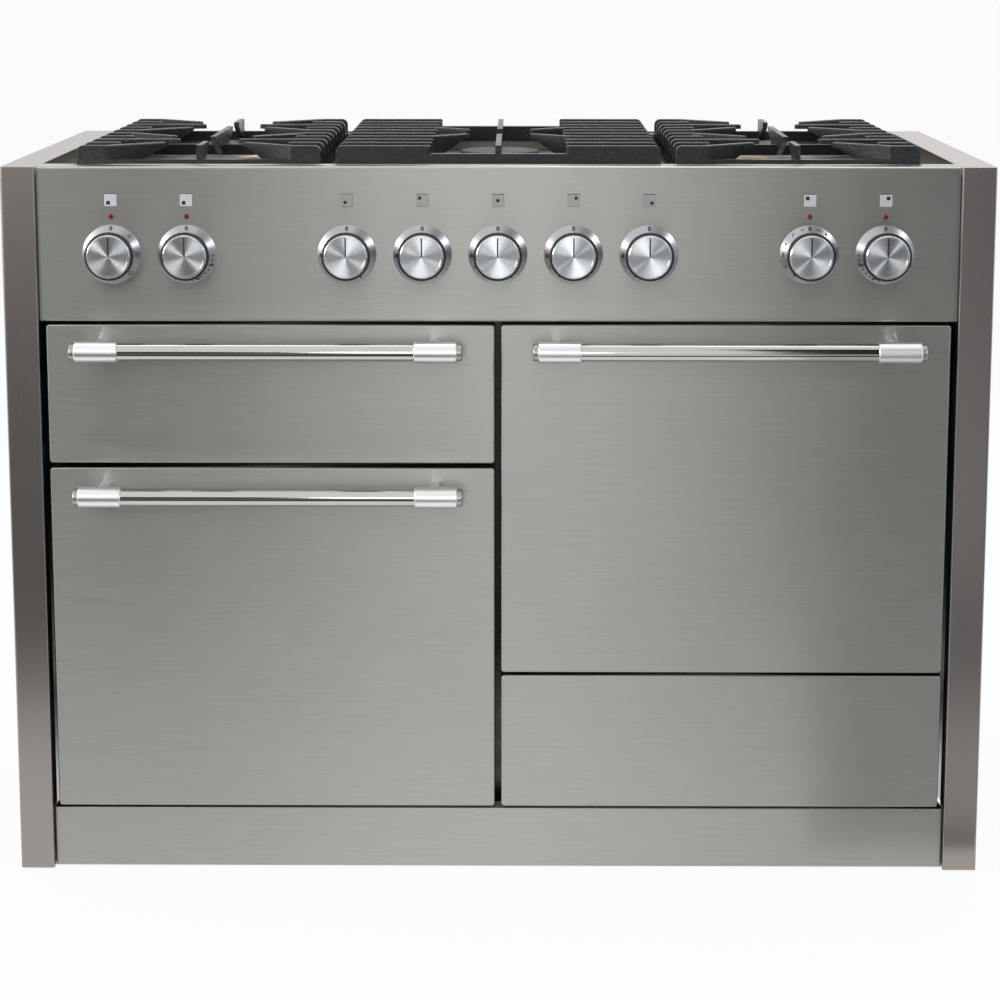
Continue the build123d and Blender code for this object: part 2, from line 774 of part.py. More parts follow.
def rib_profile(outer, rise, knee, tip, toward):
    """Side view of a rib: rounded outer shoulder, flat top, underside rising from one place to a thin tip."""
    underside = support_top - finger_tip_thickness
    with BuildSketch(Plane.XZ.offset(-support_mid)) as profile:
        with BuildLine():
            shoulder = (outer + toward * rib_shoulder_radius, support_top)
            flank = (outer, support_top - rib_shoulder_radius)
            Line((outer, ring_low), flank)
            TangentArc(flank, shoulder, tangent=(0, 1))
            Polyline(shoulder, (tip, support_top), (tip, underside), (outer + toward * knee, underside),
                     (outer + toward * rise, ring_low), (outer, ring_low))
        make_face()
    extrude(profile.sketch, amount=support_length, both=True, mode=Mode.INTERSECT)


def ease_ribs(ribs):
    """Break the top edges of the ribs, apart from where the shoulder runs into the top."""
    top_edges = ribs.edges().filter_by(lambda edge: edge.center().Z > support_top - 0.01)
    chamfer(top_edges.filter_by(Axis.Y, reverse=True), rib_edge)


def straight_rib(outer, toward, y, length):
    """Plan of a straight rib with a round tip."""
    with Locations((outer + toward * (length - rib_thickness / 2) / 2, y)):
        Rectangle(length - rib_thickness / 2, rib_thickness)
    with Locations((outer + toward * (length - rib_thickness / 2), y)):
        Circle(rib_thickness / 2)


def slanted_finger(start, end):
    """Plan of a slanted finger with round ends, between two centres."""
    run = end[0] - start[0]
    cross = end[1] - start[1]
    with Locations(((start[0] + end[0]) / 2, (start[1] + end[1]) / 2)):
        SlotCenterToCenter(hypot(run, cross), rib_thickness, rotation=degrees(atan2(cross, run)))


def side_ribs(centre, toward):
    """Ribs of one side of an outer support, around its two burners."""
    outer = centre - toward * side_support_width / 2
    with BuildPart() as ribs:
        with BuildSketch(Plane.XY.offset(ring_low)) as plan:
            for place, y in enumerate(rib_ys):
                kind = place % (rib_count // 2)
                if kind in (1, 3):
                    straight_rib(outer, toward, y, short_finger)
                elif kind == 2:
                    straight_rib(outer, toward, y, side_support_width / 2 - burner_clear)
                else:
                    heading = 1 if kind == 0 else -1
                    elbow = outer + toward * finger_root
                    straight_rib(outer, toward, y, finger_root + rib_thickness / 2)
                    slanted_finger((elbow, y), (elbow + toward * finger_run, y + heading * finger_cross))
        extrude(plan.sketch, amount=support_top - ring_low)
        rib_profile(outer, finger_underside, finger_root + finger_run, centre, toward)
        ease_ribs(ribs)
    return ribs.part


def centre_ribs(toward):
    """Ribs of one side of the centre support, with two slanted fingers to the wok burner."""
    outer = -toward * centre_support_width / 2
    inner = outer + toward * wok_block
    reach = abs(inner) - wok_finger_tip
    with BuildPart() as ribs:
        with BuildSketch(Plane.XY.offset(ring_low)) as plan:
            for place, y in enumerate(rib_ys):
                straight_rib(outer, toward, y, wok_block)
                if place in (rib_count // 2 - 2, rib_count // 2 + 1):
                    heading = 1 if y < support_mid else -1
                    slanted_finger((inner - toward * rib_thickness / 2, y),
                                   (inner + toward * reach, y + heading * reach))
        extrude(plan.sketch, amount=support_top - ring_low)
        rib_profile(outer, wok_block, wok_block + reach, 0, toward)
        ease_ribs(ribs)
    return ribs.part


def fore_aft_finger(x, root, tip):
    """Finger along Y from a cross bar towards a burner, with its underside rising to the tip."""
    toward = 1 if tip > root else -1
    with BuildSketch(Plane.YZ.offset(x)) as profile:
        with BuildLine():
            Polyline((root, ring_low), (root, support_top), (tip, support_top),
                     (tip, support_top - finger_tip_thickness), (root + toward * ring_width, ring_low),
                     (root, ring_low))
        make_face()
    extrude(profile.sketch, amount=plate_finger_thickness / 2, both=True)


def support_ring(centre, width, mid_bar, bar_top):
    """Low frame of a support, with cross bars up to a level and feet on the hob tray."""
    half = width / 2 - ring_inset
    y0 = rib_ys[0] - rib_thickness / 2
    y1 = rib_ys[-1] + rib_thickness / 2
    for x in (centre - half, centre + half - ring_width):
        block(x, x + ring_width, y0, y1, ring_low, ring_top)
    bars = [y0, y1 - ring_width]
    if mid_bar:
        bars.append(support_mid - ring_width / 2)
    for y in bars:
        block(centre - half, centre + half, y, y + ring_width, ring_low, bar_top)
    for x in (centre - half + ring_width / 2, centre + half - ring_width / 2):
        for y in (y0 + support_foot_radius, y1 - support_foot_radius):
            rod_along_z(x, y, hob_level, ring_low + sheet, ring_width / 2)


for side, centre in (("left", -side_support_x), ("right", side_support_x)):
    with BuildPart() as support:
        support_ring(centre, side_support_width, True, ring_top)
        add(side_ribs(centre, 1))
        add(side_ribs(centre, -1))
        fore_aft_finger(centre, rib_ys[0], front_burner_y - burner_clear)
        fore_aft_finger(centre, support_mid, front_burner_y + burner_clear)
        fore_aft_finger(centre, support_mid, rear_burner_y - burner_clear)
        fore_aft_finger(centre, rib_ys[-1], rear_burner_y + burner_clear)
    write(support.part, f"pan_support_{side}")

with BuildPart() as centre_support:
    support_ring(0, centre_support_width, False, support_top - wok_bar_drop)
    add(centre_ribs(1))
    add(centre_ribs(-1))
    fore_aft_finger(0, rib_ys[0], support_mid - wok_finger_tip)
    fore_aft_finger(0, rib_ys[-1], support_mid + wok_finger_tip)
write(centre_support.part, "pan_support_centre")

# Burners: a body on the tray with a slotted flame crown, and a loose cap on top
burners = [
    (-side_support_x, front_burner_y, rapid_cap_radius),
    (-side_support_x, rear_burner_y, medium_cap_radius),
    (0, support_mid, wok_cap_radius),
    (side_support_x, front_burner_y, small_cap_radius),
    (side_support_x, rear_burner_y, medium_cap_radius),
]
burner_bodies = []
burner_caps = []
crown_top = hob_level + burner_head_height
for x, y, cap_radius in burners:
    crown_radius = cap_radius - burner_cap_overhang
    ports = int(port_density * cap_radius)
    with BuildPart() as body:
        with BuildSketch(Plane.XZ.offset(-y)) as outline:
            with BuildLine():
                Polyline((x, hob_level), (x + cap_radius + burner_skirt, hob_level),
                         (x + cap_radius, hob_level + burner_skirt_height),
                         (x + crown_radius, hob_level + burner_skirt_height), (x + crown_radius, crown_top),
                         (x, crown_top), close=True)
            make_face()
        revolve(outline.sketch, axis=Axis((x, y, 0), (0, 0, 1)))
        with Locations((x, y, crown_top)):
            with PolarLocations(crown_radius, ports):
                Box(2 * port_depth, port_width, 2 * port_depth, mode=Mode.SUBTRACT)
    burner_bodies.append(body.part)
    with BuildPart() as cap:
        rod_along_z(x, y, crown_top, crown_top + burner_cap_height, cap_radius)
        fillet(cap.edges().filter_by(GeomType.CIRCLE).sort_by(Axis.Z)[-1], burner_cap_edge)
    burner_caps.append(cap.part)
write_group(burner_bodies, "burner_bodies")
write_group(burner_caps, "burner_caps")

# Oven fittings: fan, motor, ring element, fan cover, shelf and side ladders in each oven
ovens = {"left_oven": (left_low, left_high), "right_oven": (right_low, right_high)}
oven_back = frame_face + cavity_depth
fan_covers = []
fan_motors = []
elements = []
shelves = []


def bar_along_y(x, y0, y1, z, radius):
    """Six-sided wire along Y."""
    with BuildSketch(Plane.XZ.offset(-y1)) as section:
        with Locations((x, z)):
            RegularPolygon(radius, 6)
    extrude(section.sketch, amount=y1 - y0)


def bar_along_x(x0, x1, y, z, radius):
    """Six-sided wire along X."""
    with BuildSketch(Plane.YZ.offset(x0)) as section:
        with Locations((y, z)):
            RegularPolygon(radius, 6)
    extrude(section.sketch, amount=x1 - x0)


def bar_along_z(x, y, z0, z1, radius):
    """Six-sided wire along Z."""
    with BuildSketch(Plane.XY.offset(z0)) as section:
        with Locations((x, y)):
            RegularPolygon(radius, 6, rotation=30)
    extrude(section.sketch, amount=z1 - z0)


for name, (low, high) in ovens.items():
    x = doors[name][0]
    middle = (low + high) / 2
    blade_root = fan_hub_radius / 2
    blade_tip = fan_radius - fan_rim
    with BuildPart() as fan:
        rod_along_y(x, oven_back - fan_wall_gap - sheet, oven_back - fan_wall_gap, middle, fan_radius)
        with BuildSketch(Plane.XZ.offset(-(oven_back - fan_wall_gap))) as blades:
            with Locations((x, middle)):
                with PolarLocations((blade_root + blade_tip) / 2, fan_blades):
                    Rectangle(blade_tip - blade_root, sheet)
                Circle(fan_hub_radius)
        extrude(blades.sketch, amount=fan_depth)
        rod_along_y(x, oven_back - fan_wall_gap, oven_back + sheet + motor_length / 2, middle, shaft_radius)
    write(fan.part, f"{name}_fan")

    with BuildPart() as motor:
        rod_along_y(x, oven_back + sheet, oven_back + sheet + motor_length, middle, motor_radius)
        chamfer(motor.edges().filter_by(GeomType.CIRCLE).sort_by(Axis.Y)[-1], tap_chamfer)
        rod_along_y(x, oven_back, oven_back + sheet + motor_length / 2 + running_clearance, middle,
                    shaft_radius + running_clearance, Mode.SUBTRACT)
    fan_motors.append(motor.part)

    with BuildPart() as element:
        with Locations(Location((x, oven_back - element_wall_gap, middle), (90, 0, 0))):
            Torus(element_ring_radius, element_radius)
        for sign in (-1, 1):
            rod_along_y(x + sign * element_leg_offset, oven_back - element_wall_gap, oven_back,
                        middle - element_ring_radius, element_radius)
    elements.append(element.part)

    half_cover = fan_cover_size / 2
    with BuildPart() as cover:
        block(x - half_cover, x + half_cover, oven_back - fan_cover_gap, oven_back,
              middle - half_cover, middle + half_cover)
        chamfer(cover.faces().sort_by(Axis.Y)[0].edges(), fan_cover_chamfer)
        block(x - half_cover + sheet, x + half_cover - sheet, oven_back - fan_cover_gap + fan_cover_chamfer,
              oven_back + sheet, middle - half_cover + sheet, middle + half_cover - sheet, Mode.SUBTRACT)
        with BuildSketch(Plane.XZ.offset(-(oven_back - fan_cover_gap))) as grille:
            with Locations((x, middle)):
                with PolarLocations(fan_radius * 0.6, grille_slots):
                    SlotOverall(fan_radius * 0.55, grille_slot_width)
        extrude(grille.sketch, amount=-2 * fan_cover_chamfer, mode=Mode.SUBTRACT)
        outlet_y = oven_back - (fan_cover_gap - fan_cover_chamfer) / 2
        for sign in (-1, 1):
            edge = x + sign * half_cover
            block(edge - 2 * sheet, edge + 2 * sheet,
                  outlet_y - outlet_width / 2, outlet_y + outlet_width / 2,
                  middle - half_cover / 2, middle + half_cover / 2, Mode.SUBTRACT)
    fan_covers.append(cover.part)

    shelf_front = frame_face + shelf_setback
    shelf_back = oven_back - fan_cover_gap - shelf_setback
    ladder_x = cavity_width / 2 - ladder_wire * cos(radians(30))
    rung_levels = [low + (place + 1) * (high - low) / (ladder_rungs + 1) for place in range(ladder_rungs)]
    for sign in (-1, 1):
        with BuildPart() as ladder:
            for y in (shelf_front + ladder_inset, shelf_back - ladder_inset):
                bar_along_z(x + sign * ladder_x, y, low + cavity_radius, high - cavity_radius, ladder_wire)
            for level in rung_levels:
                bar_along_y(x + sign * (ladder_x - ladder_wire), shelf_front, shelf_back, level, ladder_wire)
        shelves.append(ladder.part)
    shelf_level = rung_levels[1] + (ladder_wire + shelf_wire) * cos(radians(30)) + shelf_clearance
    shelf_half = ladder_x - ladder_wire
    with BuildPart() as shelf:
        for y in (shelf_front, (shelf_front + shelf_back) / 2, shelf_back):
            bar_along_x(x - shelf_half, x + shelf_half, y, shelf_level, shelf_wire)
        shelf_pitch = (2 * shelf_half - 2 * shelf_wire) / (shelf_bars - 1)
        for place in range(shelf_bars):
            bar_x = x - shelf_half + shelf_wire + place * shelf_pitch
            bar_along_y(bar_x, shelf_front, shelf_back, shelf_level, shelf_wire)
    shelves.append(shelf.part)

grill_back = frame_face + grill_depth
grill_x = doors["grill"][0]
element_level = grill_high - element_ceiling_gap
with BuildPart() as grill_element:
    run_xs = [grill_x + (place - (grill_runs - 1) / 2) * grill_run_pitch for place in range(grill_runs)]
    route = []
    for place, run_x in enumerate(run_xs):
        ends = [(run_x, grill_back, element_level), (run_x, frame_face + element_front_gap, element_level)]
        if 0 < place < grill_runs - 1:
            ends[0] = (run_x, grill_back - element_turn_gap, element_level)
        route.extend(ends if place % 2 == 0 else ends[::-1])
    with BuildLine():
        FilletPolyline(*route, radius=grill_run_pitch * 0.45)
    with BuildSketch(Plane(origin=route[0], z_dir=(0, -1, 0))):
        Circle(element_radius)
    sweep()
elements.append(grill_element.part)
write_group(elements, "heating_elements")
write_group(fan_motors, "fan_motors")
write_group(fan_covers, "fan_covers")
write_group(shelves, "oven_shelves")

# Grill pan on the floor of the grill cavity, with a wire trivet standing in it
pan_half = cavity_width / 2 - cavity_radius - grill_pan_gap
pan_front = frame_face + shelf_setback
pan_rear = grill_back - shelf_setback
with BuildPart() as grill_pan:
    block(grill_x - pan_half, grill_x + pan_half, pan_front, pan_rear,
          grill_low, grill_low + grill_pan_height)
    fillet(grill_pan.edges().filter_by(Axis.Z), cavity_radius)
    block(grill_x - pan_half + sheet, grill_x + pan_half - sheet, pan_front + sheet, pan_rear - sheet,
          grill_low + sheet, grill_low + grill_pan_height + sheet, Mode.SUBTRACT)
with BuildPart() as trivet:
    trivet_half = pan_half - 2 * cavity_radius
    trivet_y0 = pan_front + 2 * cavity_radius
    trivet_y1 = pan_rear - 2 * cavity_radius
    trivet_level = grill_low + grill_pan_height - shelf_wire
    trivet_pitch = 2 * trivet_half / (trivet_bars - 1)
    for place in range(trivet_bars):
        bar_x = grill_x - trivet_half + place * trivet_pitch
        bar_along_y(bar_x, trivet_y0, trivet_y1, trivet_level, shelf_wire)
    for y in (trivet_y0 + shelf_wire, trivet_y1 - shelf_wire):
        bar_along_x(grill_x - trivet_half, grill_x + trivet_half, y, trivet_level, shelf_wire)
        for leg_x in (grill_x - trivet_half, grill_x + trivet_half):
            bar_along_z(leg_x, y, grill_low + sheet, trivet_level, shelf_wire)
write_group([grill_pan.part, trivet.part], "grill_pan")

# Drawer box behind its front pan, hung by its side flanges on two fixed runners
box_x0 = upright_inner + drawer_box_gap
box_x1 = upright_outer - drawer_box_gap
box_low = doors_bottom + drawer_floor_rise
box_top = right_door_bottom - drawer_box_drop
box_rear = pan_back + drawer_box_depth
flange_reach = drawer_box_gap - 2 * sheet
with BuildPart() as drawer_box:
    plate_half = door_width / 2 - liner_inset
    block(column_x - plate_half, column_x + plate_half, pan_back, pan_back + sheet,
          doors_bottom + liner_inset, doors_bottom + drawer_front_height - liner_inset)
    block(box_x0, box_x1, pan_back, box_rear, box_low, box_top)
    for x0, x1 in ((box_x0 - flange_reach, box_x0 + sheet), (box_x1 - sheet, box_x1 + flange_reach)):
        block(x0, x1, frame_face - sheet, box_rear, box_top - sheet, box_top)
    block(box_x0 + sheet, box_x1 - sheet, pan_back + sheet, box_rear - sheet,
          box_low + sheet, box_top + sheet, Mode.SUBTRACT)
write(drawer_box.part, "drawer_box")

runner_top = box_top - sheet - runner_clearance
runners = []
for x0, x1 in ((upright_inner, upright_inner + runner_size), (upright_outer - runner_size, upright_outer)):
    with BuildPart() as runner:
        block(x0, x1, frame_face, back_face - sheet, runner_top - runner_size, runner_top)
    runners.append(runner.part)
write_group(runners, "drawer_runners")
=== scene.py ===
"""Range cooker: finishes, dial prints, icon tiles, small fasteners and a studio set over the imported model."""

import logging
import math
from dataclasses import dataclass, field
from enum import Enum
from typing import Dict, List, Sequence, Tuple, Union

import bmesh
import bpy
from mathutils import Matrix, Vector


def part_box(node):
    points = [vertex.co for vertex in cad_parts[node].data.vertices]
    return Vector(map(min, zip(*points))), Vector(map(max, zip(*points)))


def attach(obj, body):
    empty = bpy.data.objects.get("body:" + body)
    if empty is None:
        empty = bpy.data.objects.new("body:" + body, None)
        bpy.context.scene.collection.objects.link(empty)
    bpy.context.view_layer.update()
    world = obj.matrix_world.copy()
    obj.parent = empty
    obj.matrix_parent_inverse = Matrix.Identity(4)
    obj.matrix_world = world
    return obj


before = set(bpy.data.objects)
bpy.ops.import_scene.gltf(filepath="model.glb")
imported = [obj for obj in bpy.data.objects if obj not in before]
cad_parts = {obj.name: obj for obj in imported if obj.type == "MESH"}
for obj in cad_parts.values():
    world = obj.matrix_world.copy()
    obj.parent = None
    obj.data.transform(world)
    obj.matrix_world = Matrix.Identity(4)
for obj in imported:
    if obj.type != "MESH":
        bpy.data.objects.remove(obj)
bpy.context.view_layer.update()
LOG = logging.getLogger("range_cooker")

Colour = Tuple[float, float, float]
Place = Tuple[float, float, float]
Pair = Tuple[float, float]
Socket = bpy.types.NodeSocket

CABINET = "cabinet"
GAS_KNOBS = [f"gas_knob_{place}" for place in range(1, 6)]
ELECTRIC_KNOBS = ["left_oven_function_knob", "left_oven_heat_knob", "grill_heat_knob", "right_oven_heat_knob"]
KNOBS = GAS_KNOBS + ELECTRIC_KNOBS

# Font size of a figure one unit high, and how much its strokes are thickened
FIGURE_SIZE = 1.38
FIGURE_WEIGHT = 0.07

# Steps and fullness of a rounded edge
EDGE_SEGMENTS = 2
EDGE_PROFILE = 0.7

# Places of a mix node's two colours and of the mixed one
MIX_FIRST, MIX_SECOND, MIX_RESULT = 6, 7, 2

# Where most values of a noise lie, and the whole range of a value
NOISE_RANGE = (0.3, 0.7)
FULL_RANGE = (0.0, 1.0)
QUARTER_TURN = 0.25


class Grain(Enum):
    """Direction that a sheet was brushed in, as texture stretch along X, Y and Z per metre."""

    ACROSS = (22.0, 900.0, 900.0)
    UPRIGHT = (900.0, 900.0, 14.0)


class Detail(Enum):
    """How fine a noise runs, as its octaves and the share of the finer ones."""

    SOFT = (2.0, 0.5)
    STREAKED = (3.0, 0.5)
    SANDY = (3.0, 0.6)
    CRISP = (4.0, 0.6)


def scaled(colour: Colour, share: float) -> Colour:
    """A lighter or darker shade of a colour."""
    return tuple(min(1.0, part * share) for part in colour)


def even(scale: float) -> Place:
    """One number for all three of X, Y and Z, or of red, green and blue."""
    return scale, scale, scale


def turns(sides: int) -> List[float]:
    """Angles of evenly spread sides, in radians."""
    return [2 * math.pi * side / sides for side in range(sides)]


class NodeSheet:
    """Lays out the shader nodes of one material, or of the world."""

    def __init__(self, owner: Union[bpy.types.Material, bpy.types.World]) -> None:
        """Open a node tree.

        Args:
            owner: Material or world that the nodes belong to.
        """
        owner.use_nodes = True
        self.owner = owner
        self.tree = owner.node_tree
        self.shader = self.tree.nodes.get("Principled BSDF")

    @classmethod
    def named(cls, name: str) -> "NodeSheet":
        """Start a new material with one principled shader."""
        return cls(bpy.data.materials.new(name))

    def fill(self, socket: Socket, value: object) -> None:
        """Link an output to an input, or set the input to a constant.

        Args:
            socket: The input.
            value: An output, a number, a vector or a colour.
        """
        if isinstance(value, Socket):
            self.tree.links.new(value, socket)
        elif socket.type == "RGBA":
            socket.default_value = (*value, 1.0)
        else:
            socket.default_value = value

    def add(self, kind: str, inputs: Dict[Union[int, str], object], **settings: object) -> bpy.types.Node:
        """Add a node.

        Args:
            kind: Blender's node type.
            inputs: What its inputs take, by name or by place.
            settings: Properties to set on the node.

        Returns:
            The new node.
        """
        node = self.tree.nodes.new(kind)
        for key, value in settings.items():
            setattr(node, key, value)
        for key, value in inputs.items():
            self.fill(node.inputs[key], value)
        return node

    def apply(self, **values: object) -> None:
        """Fill inputs of the principled shader, named with underscores for spaces."""
        for key, value in values.items():
            self.fill(self.shader.inputs[key.replace("_", " ")], value)

    def place(self) -> Socket:
        """Object coordinates, which are the model's own frame."""
        return self.add("ShaderNodeTexCoord", {}).outputs["Object"]

    def axes(self) -> bpy.types.Node:
        """Object coordinates taken apart, as the outputs X, Y and Z."""
        return self.add("ShaderNodeSeparateXYZ", {0: self.place()})

    def noise(self, stretch: Place, detail: Detail) -> Socket:
        """Noise stretched along the axes.

        Args:
            stretch: Features per metre along X, Y and Z.
            detail: How fine it runs.

        Returns:
            The noise value.
        """
        octaves, fine_share = detail.value
        mapping = self.add("ShaderNodeMapping", {"Vector": self.place(), "Scale": stretch})
        texture = self.add("ShaderNodeTexNoise", {"Vector": mapping.outputs["Vector"], "Scale": 1.0,
                                                  "Detail": octaves, "Roughness": fine_share})
        return texture.outputs["Fac"]

    def cells(self, scale: float) -> bpy.types.Node:
        """Irregular cells, so many per metre, as the outputs Distance and Color."""
        return self.add("ShaderNodeTexVoronoi", {"Vector": self.place(), "Scale": scale})

    def span(self, value: Socket, low: float, high: float, source: Pair = NOISE_RANGE) -> Socket:
        """Map a value from the source range to one from low to high, and hold it inside."""
        limits = {"From Min": source[0], "From Max": source[1], "To Min": low, "To Max": high}
        return self.add("ShaderNodeMapRange", {"Value": value, **limits}).outputs["Result"]

    def tint(self, value: Socket, dark: Colour, light: Colour, source: Pair = NOISE_RANGE) -> Socket:
        """Map a value to a run between two colours.

        Args:
            value: The value to map.
            dark: Colour at the low end.
            light: Colour at the high end.
            source: The value's own low and high ends.

        Returns:
            The colour.
        """
        ramp = self.add("ShaderNodeValToRGB", {"Fac": value})
        for element, stop, colour in zip(ramp.color_ramp.elements, source, (dark, light)):
            element.position = stop
            element.color = (*colour, 1.0)
        return ramp.outputs["Color"]

    def shade(self, value: Socket, colour: Colour, dark: float, light: float = 1.0) -> Socket:
        """Map a value to a run between a dark share and a light share of a colour."""
        return self.tint(value, scaled(colour, dark), scaled(colour, light))

    def combine(self, operation: str, first: Socket, second: Union[float, Socket] = 0.0) -> Socket:
        """Combine a value with a number or another value, by Blender's name of the operation."""
        return self.add("ShaderNodeMath", {0: first, 1: second}, operation=operation).outputs[0]

    def mix(self, share: Socket, first: Union[Colour, Socket], second: Union[Colour, Socket]) -> Socket:
        """Mix two colours, where a share of 0 gives the first and 1 the second."""
        node = self.add("ShaderNodeMix", {"Factor": share, MIX_FIRST: first, MIX_SECOND: second},
                        data_type="RGBA")
        return node.outputs[MIX_RESULT]

    def bump(self, height: Socket, strength: float, depth: float) -> None:
        """Raise the surface's normal by a height, whose full step is a depth in metres."""
        node = self.add("ShaderNodeBump", {"Height": height, "Strength": strength, "Distance": depth})
        self.apply(Normal=node.outputs["Normal"])

    def tangent(self, axis: str) -> None:
        """Run the grain round an axis, so that the highlight stretches across it."""
        node = self.add("ShaderNodeTangent", {}, direction_type="RADIAL", axis=axis)
        self.apply(Tangent=node.outputs["Tangent"], Anisotropic_Rotation=QUARTER_TURN)


@dataclass(frozen=True)
class Finish:
    """A surface finish, which becomes one material."""

    name: str

    def build(self) -> bpy.types.Material:
        """Make the material.

        Returns:
            The finished material.
        """
        sheet = NodeSheet.named(self.name)
        self.lay(sheet)
        return sheet.owner

    def lay(self, sheet: NodeSheet) -> None:
        """Lay out the finish's nodes on a new sheet."""
        raise NotImplementedError


@dataclass(frozen=True)
class BrushedSteel(Finish):
    """Stainless sheet with a fine one-way grain."""

    colour: Colour
    roughness: float
    grain: Grain
    contrast: float
    anisotropy: float = 0.0
    blotch: float = 5.0
    blotch_share: float = 0.25
    rough_share: float = 0.4
    bump_share: float = 0.6
    bump_depth: float = 0.00002

    def lay(self, sheet: NodeSheet) -> None:
        """Streak the colour, the roughness and the skin along the grain.

        Args:
            sheet: Nodes of the new material.
        """
        if self.anisotropy:
            sheet.tangent("Z")
        grain = sheet.noise(self.grain.value, Detail.CRISP)
        blotch = sheet.noise(even(self.blotch), Detail.SOFT)
        streaks = sheet.combine("ADD", sheet.combine("MULTIPLY", grain, 1.0 - self.blotch_share),
                                sheet.combine("MULTIPLY", blotch, self.blotch_share))
        swing = self.rough_share * self.contrast
        sheet.apply(Metallic=1.0, Anisotropic=self.anisotropy,
                    Base_Color=sheet.shade(streaks, self.colour, 1 - self.contrast, 1 + self.contrast),
                    Roughness=sheet.span(streaks, self.roughness - swing, self.roughness + swing))
        sheet.bump(grain, self.bump_share * self.contrast, self.bump_depth)


@dataclass(frozen=True)
class KnobMetal(Finish):
    """Turned aluminium face on a black moulded knob, told apart by the depth behind the face."""

    face_y: float
    face_depth: float = 0.0024
    colour: Colour = (0.60, 0.625, 0.65)
    side_colour: Colour = (0.008, 0.008, 0.009)
    roughness: Pair = (0.23, 0.27)
    anisotropy: float = 0.94
    rings: Place = (90.0, 700.0, 90.0)
    ring_shade: float = 0.94

    def lay(self, sheet: NodeSheet) -> None:
        """Turn the face and leave the rest black.

        Args:
            sheet: Nodes of the new material.
        """
        sheet.tangent("Y")
        on_face = sheet.combine("LESS_THAN", sheet.axes().outputs["Y"], self.face_y + self.face_depth)
        rings = sheet.noise(self.rings, Detail.SOFT)
        metal = sheet.shade(rings, self.colour, self.ring_shade)
        sheet.apply(Anisotropic=self.anisotropy, Metallic=on_face,
                    Base_Color=sheet.mix(on_face, self.side_colour, metal),
                    Roughness=sheet.span(rings, *self.roughness))


@dataclass(frozen=True)
class DialMetal(Finish):
    """Turned metal of a row of dials, with its grain round the nearest dial's own axis."""

    colour: Colour
    roughness: Pair
    anisotropy: float
    pitch: float
    outer_shift: float
    outer_from: float
    axis_z: float
    mottle: float = 300.0
    mottle_shade: float = 0.95

    def lay(self, sheet: NodeSheet) -> None:
        """Find the nearest dial's axis and run the grain round it.

        Args:
            sheet: Nodes of the new material.
        """
        axes = sheet.axes()
        x, z = axes.outputs["X"], axes.outputs["Z"]
        side = sheet.combine("SIGN", x)
        outer = sheet.combine("GREATER_THAN", sheet.combine("ABSOLUTE", x), self.outer_from)
        shift = sheet.combine("MULTIPLY", sheet.combine("MULTIPLY", side, outer), self.outer_shift)
        steps = sheet.combine("DIVIDE", sheet.combine("SUBTRACT", x, shift), self.pitch)
        nearest = sheet.combine("MULTIPLY", sheet.combine("ROUND", steps), self.pitch)
        across = sheet.combine("SUBTRACT", x, sheet.combine("ADD", nearest, shift))
        above = sheet.combine("SUBTRACT", z, self.axis_z)
        grain = sheet.add("ShaderNodeCombineXYZ", {"X": across, "Z": above})
        fine = sheet.noise(even(self.mottle), Detail.SOFT)
        sheet.apply(Metallic=1.0, Anisotropic=self.anisotropy, Tangent=grain.outputs[0],
                    Base_Color=sheet.shade(fine, self.colour, self.mottle_shade),
                    Roughness=sheet.span(fine, *self.roughness))


@dataclass(frozen=True)
class PlainMetal(Finish):
    """Metal with an even, slightly mottled surface."""

    colour: Colour
    roughness: float
    mottle: float
    spread: float = 0.08
    rough_shares: Pair = (0.85, 1.2)

    def lay(self, sheet: NodeSheet) -> None:
        """Mottle the colour and the roughness.

        Args:
            sheet: Nodes of the new material.
        """
        patch = sheet.noise(even(self.mottle), Detail.CRISP)
        low, high = self.rough_shares
        sheet.apply(Metallic=1.0,
                    Base_Color=sheet.shade(patch, self.colour, 1 - self.spread, 1 + self.spread),
                    Roughness=sheet.span(patch, self.roughness * low, self.roughness * high))


@dataclass(frozen=True)
class HandleMetal(Finish):
    """Polished bar between two satin end brackets, told apart by the distance from the bar's middle."""

    middle_x: float
    bracket_from: float
    cap_from: float
    bar_colour: Colour = (0.58, 0.575, 0.56)
    bracket_colour: Colour = (0.88, 0.89, 0.90)
    cap_colour: Colour = (0.42, 0.40, 0.38)
    bar_roughness: float = 0.09
    bracket_roughness: float = 0.33
    rough_swing: float = 0.02
    streak: Place = (6.0, 300.0, 300.0)
    bar_shade: float = 0.94
    bracket_shade: float = 0.96

    def lay(self, sheet: NodeSheet) -> None:
        """Part the bar, its brackets and its caps, and streak them lengthwise.

        Args:
            sheet: Nodes of the new material.
        """
        offset = sheet.combine("SUBTRACT", sheet.axes().outputs["X"], self.middle_x)
        reach = sheet.combine("ABSOLUTE", offset)
        on_bracket = sheet.combine("GREATER_THAN", reach, self.bracket_from)
        on_cap = sheet.combine("GREATER_THAN", reach, self.cap_from)
        streak = sheet.noise(self.streak, Detail.STREAKED)
        bar = sheet.shade(streak, self.bar_colour, self.bar_shade)
        satin = sheet.shade(streak, self.bracket_colour, self.bracket_shade)
        ends = sheet.mix(on_cap, satin, self.cap_colour)
        rough = sheet.span(on_bracket, self.bar_roughness, self.bracket_roughness, FULL_RANGE)
        swing = sheet.span(streak, -self.rough_swing, self.rough_swing)
        sheet.apply(Metallic=1.0, Base_Color=sheet.mix(on_bracket, bar, ends),
                    Roughness=sheet.combine("ADD", rough, swing))


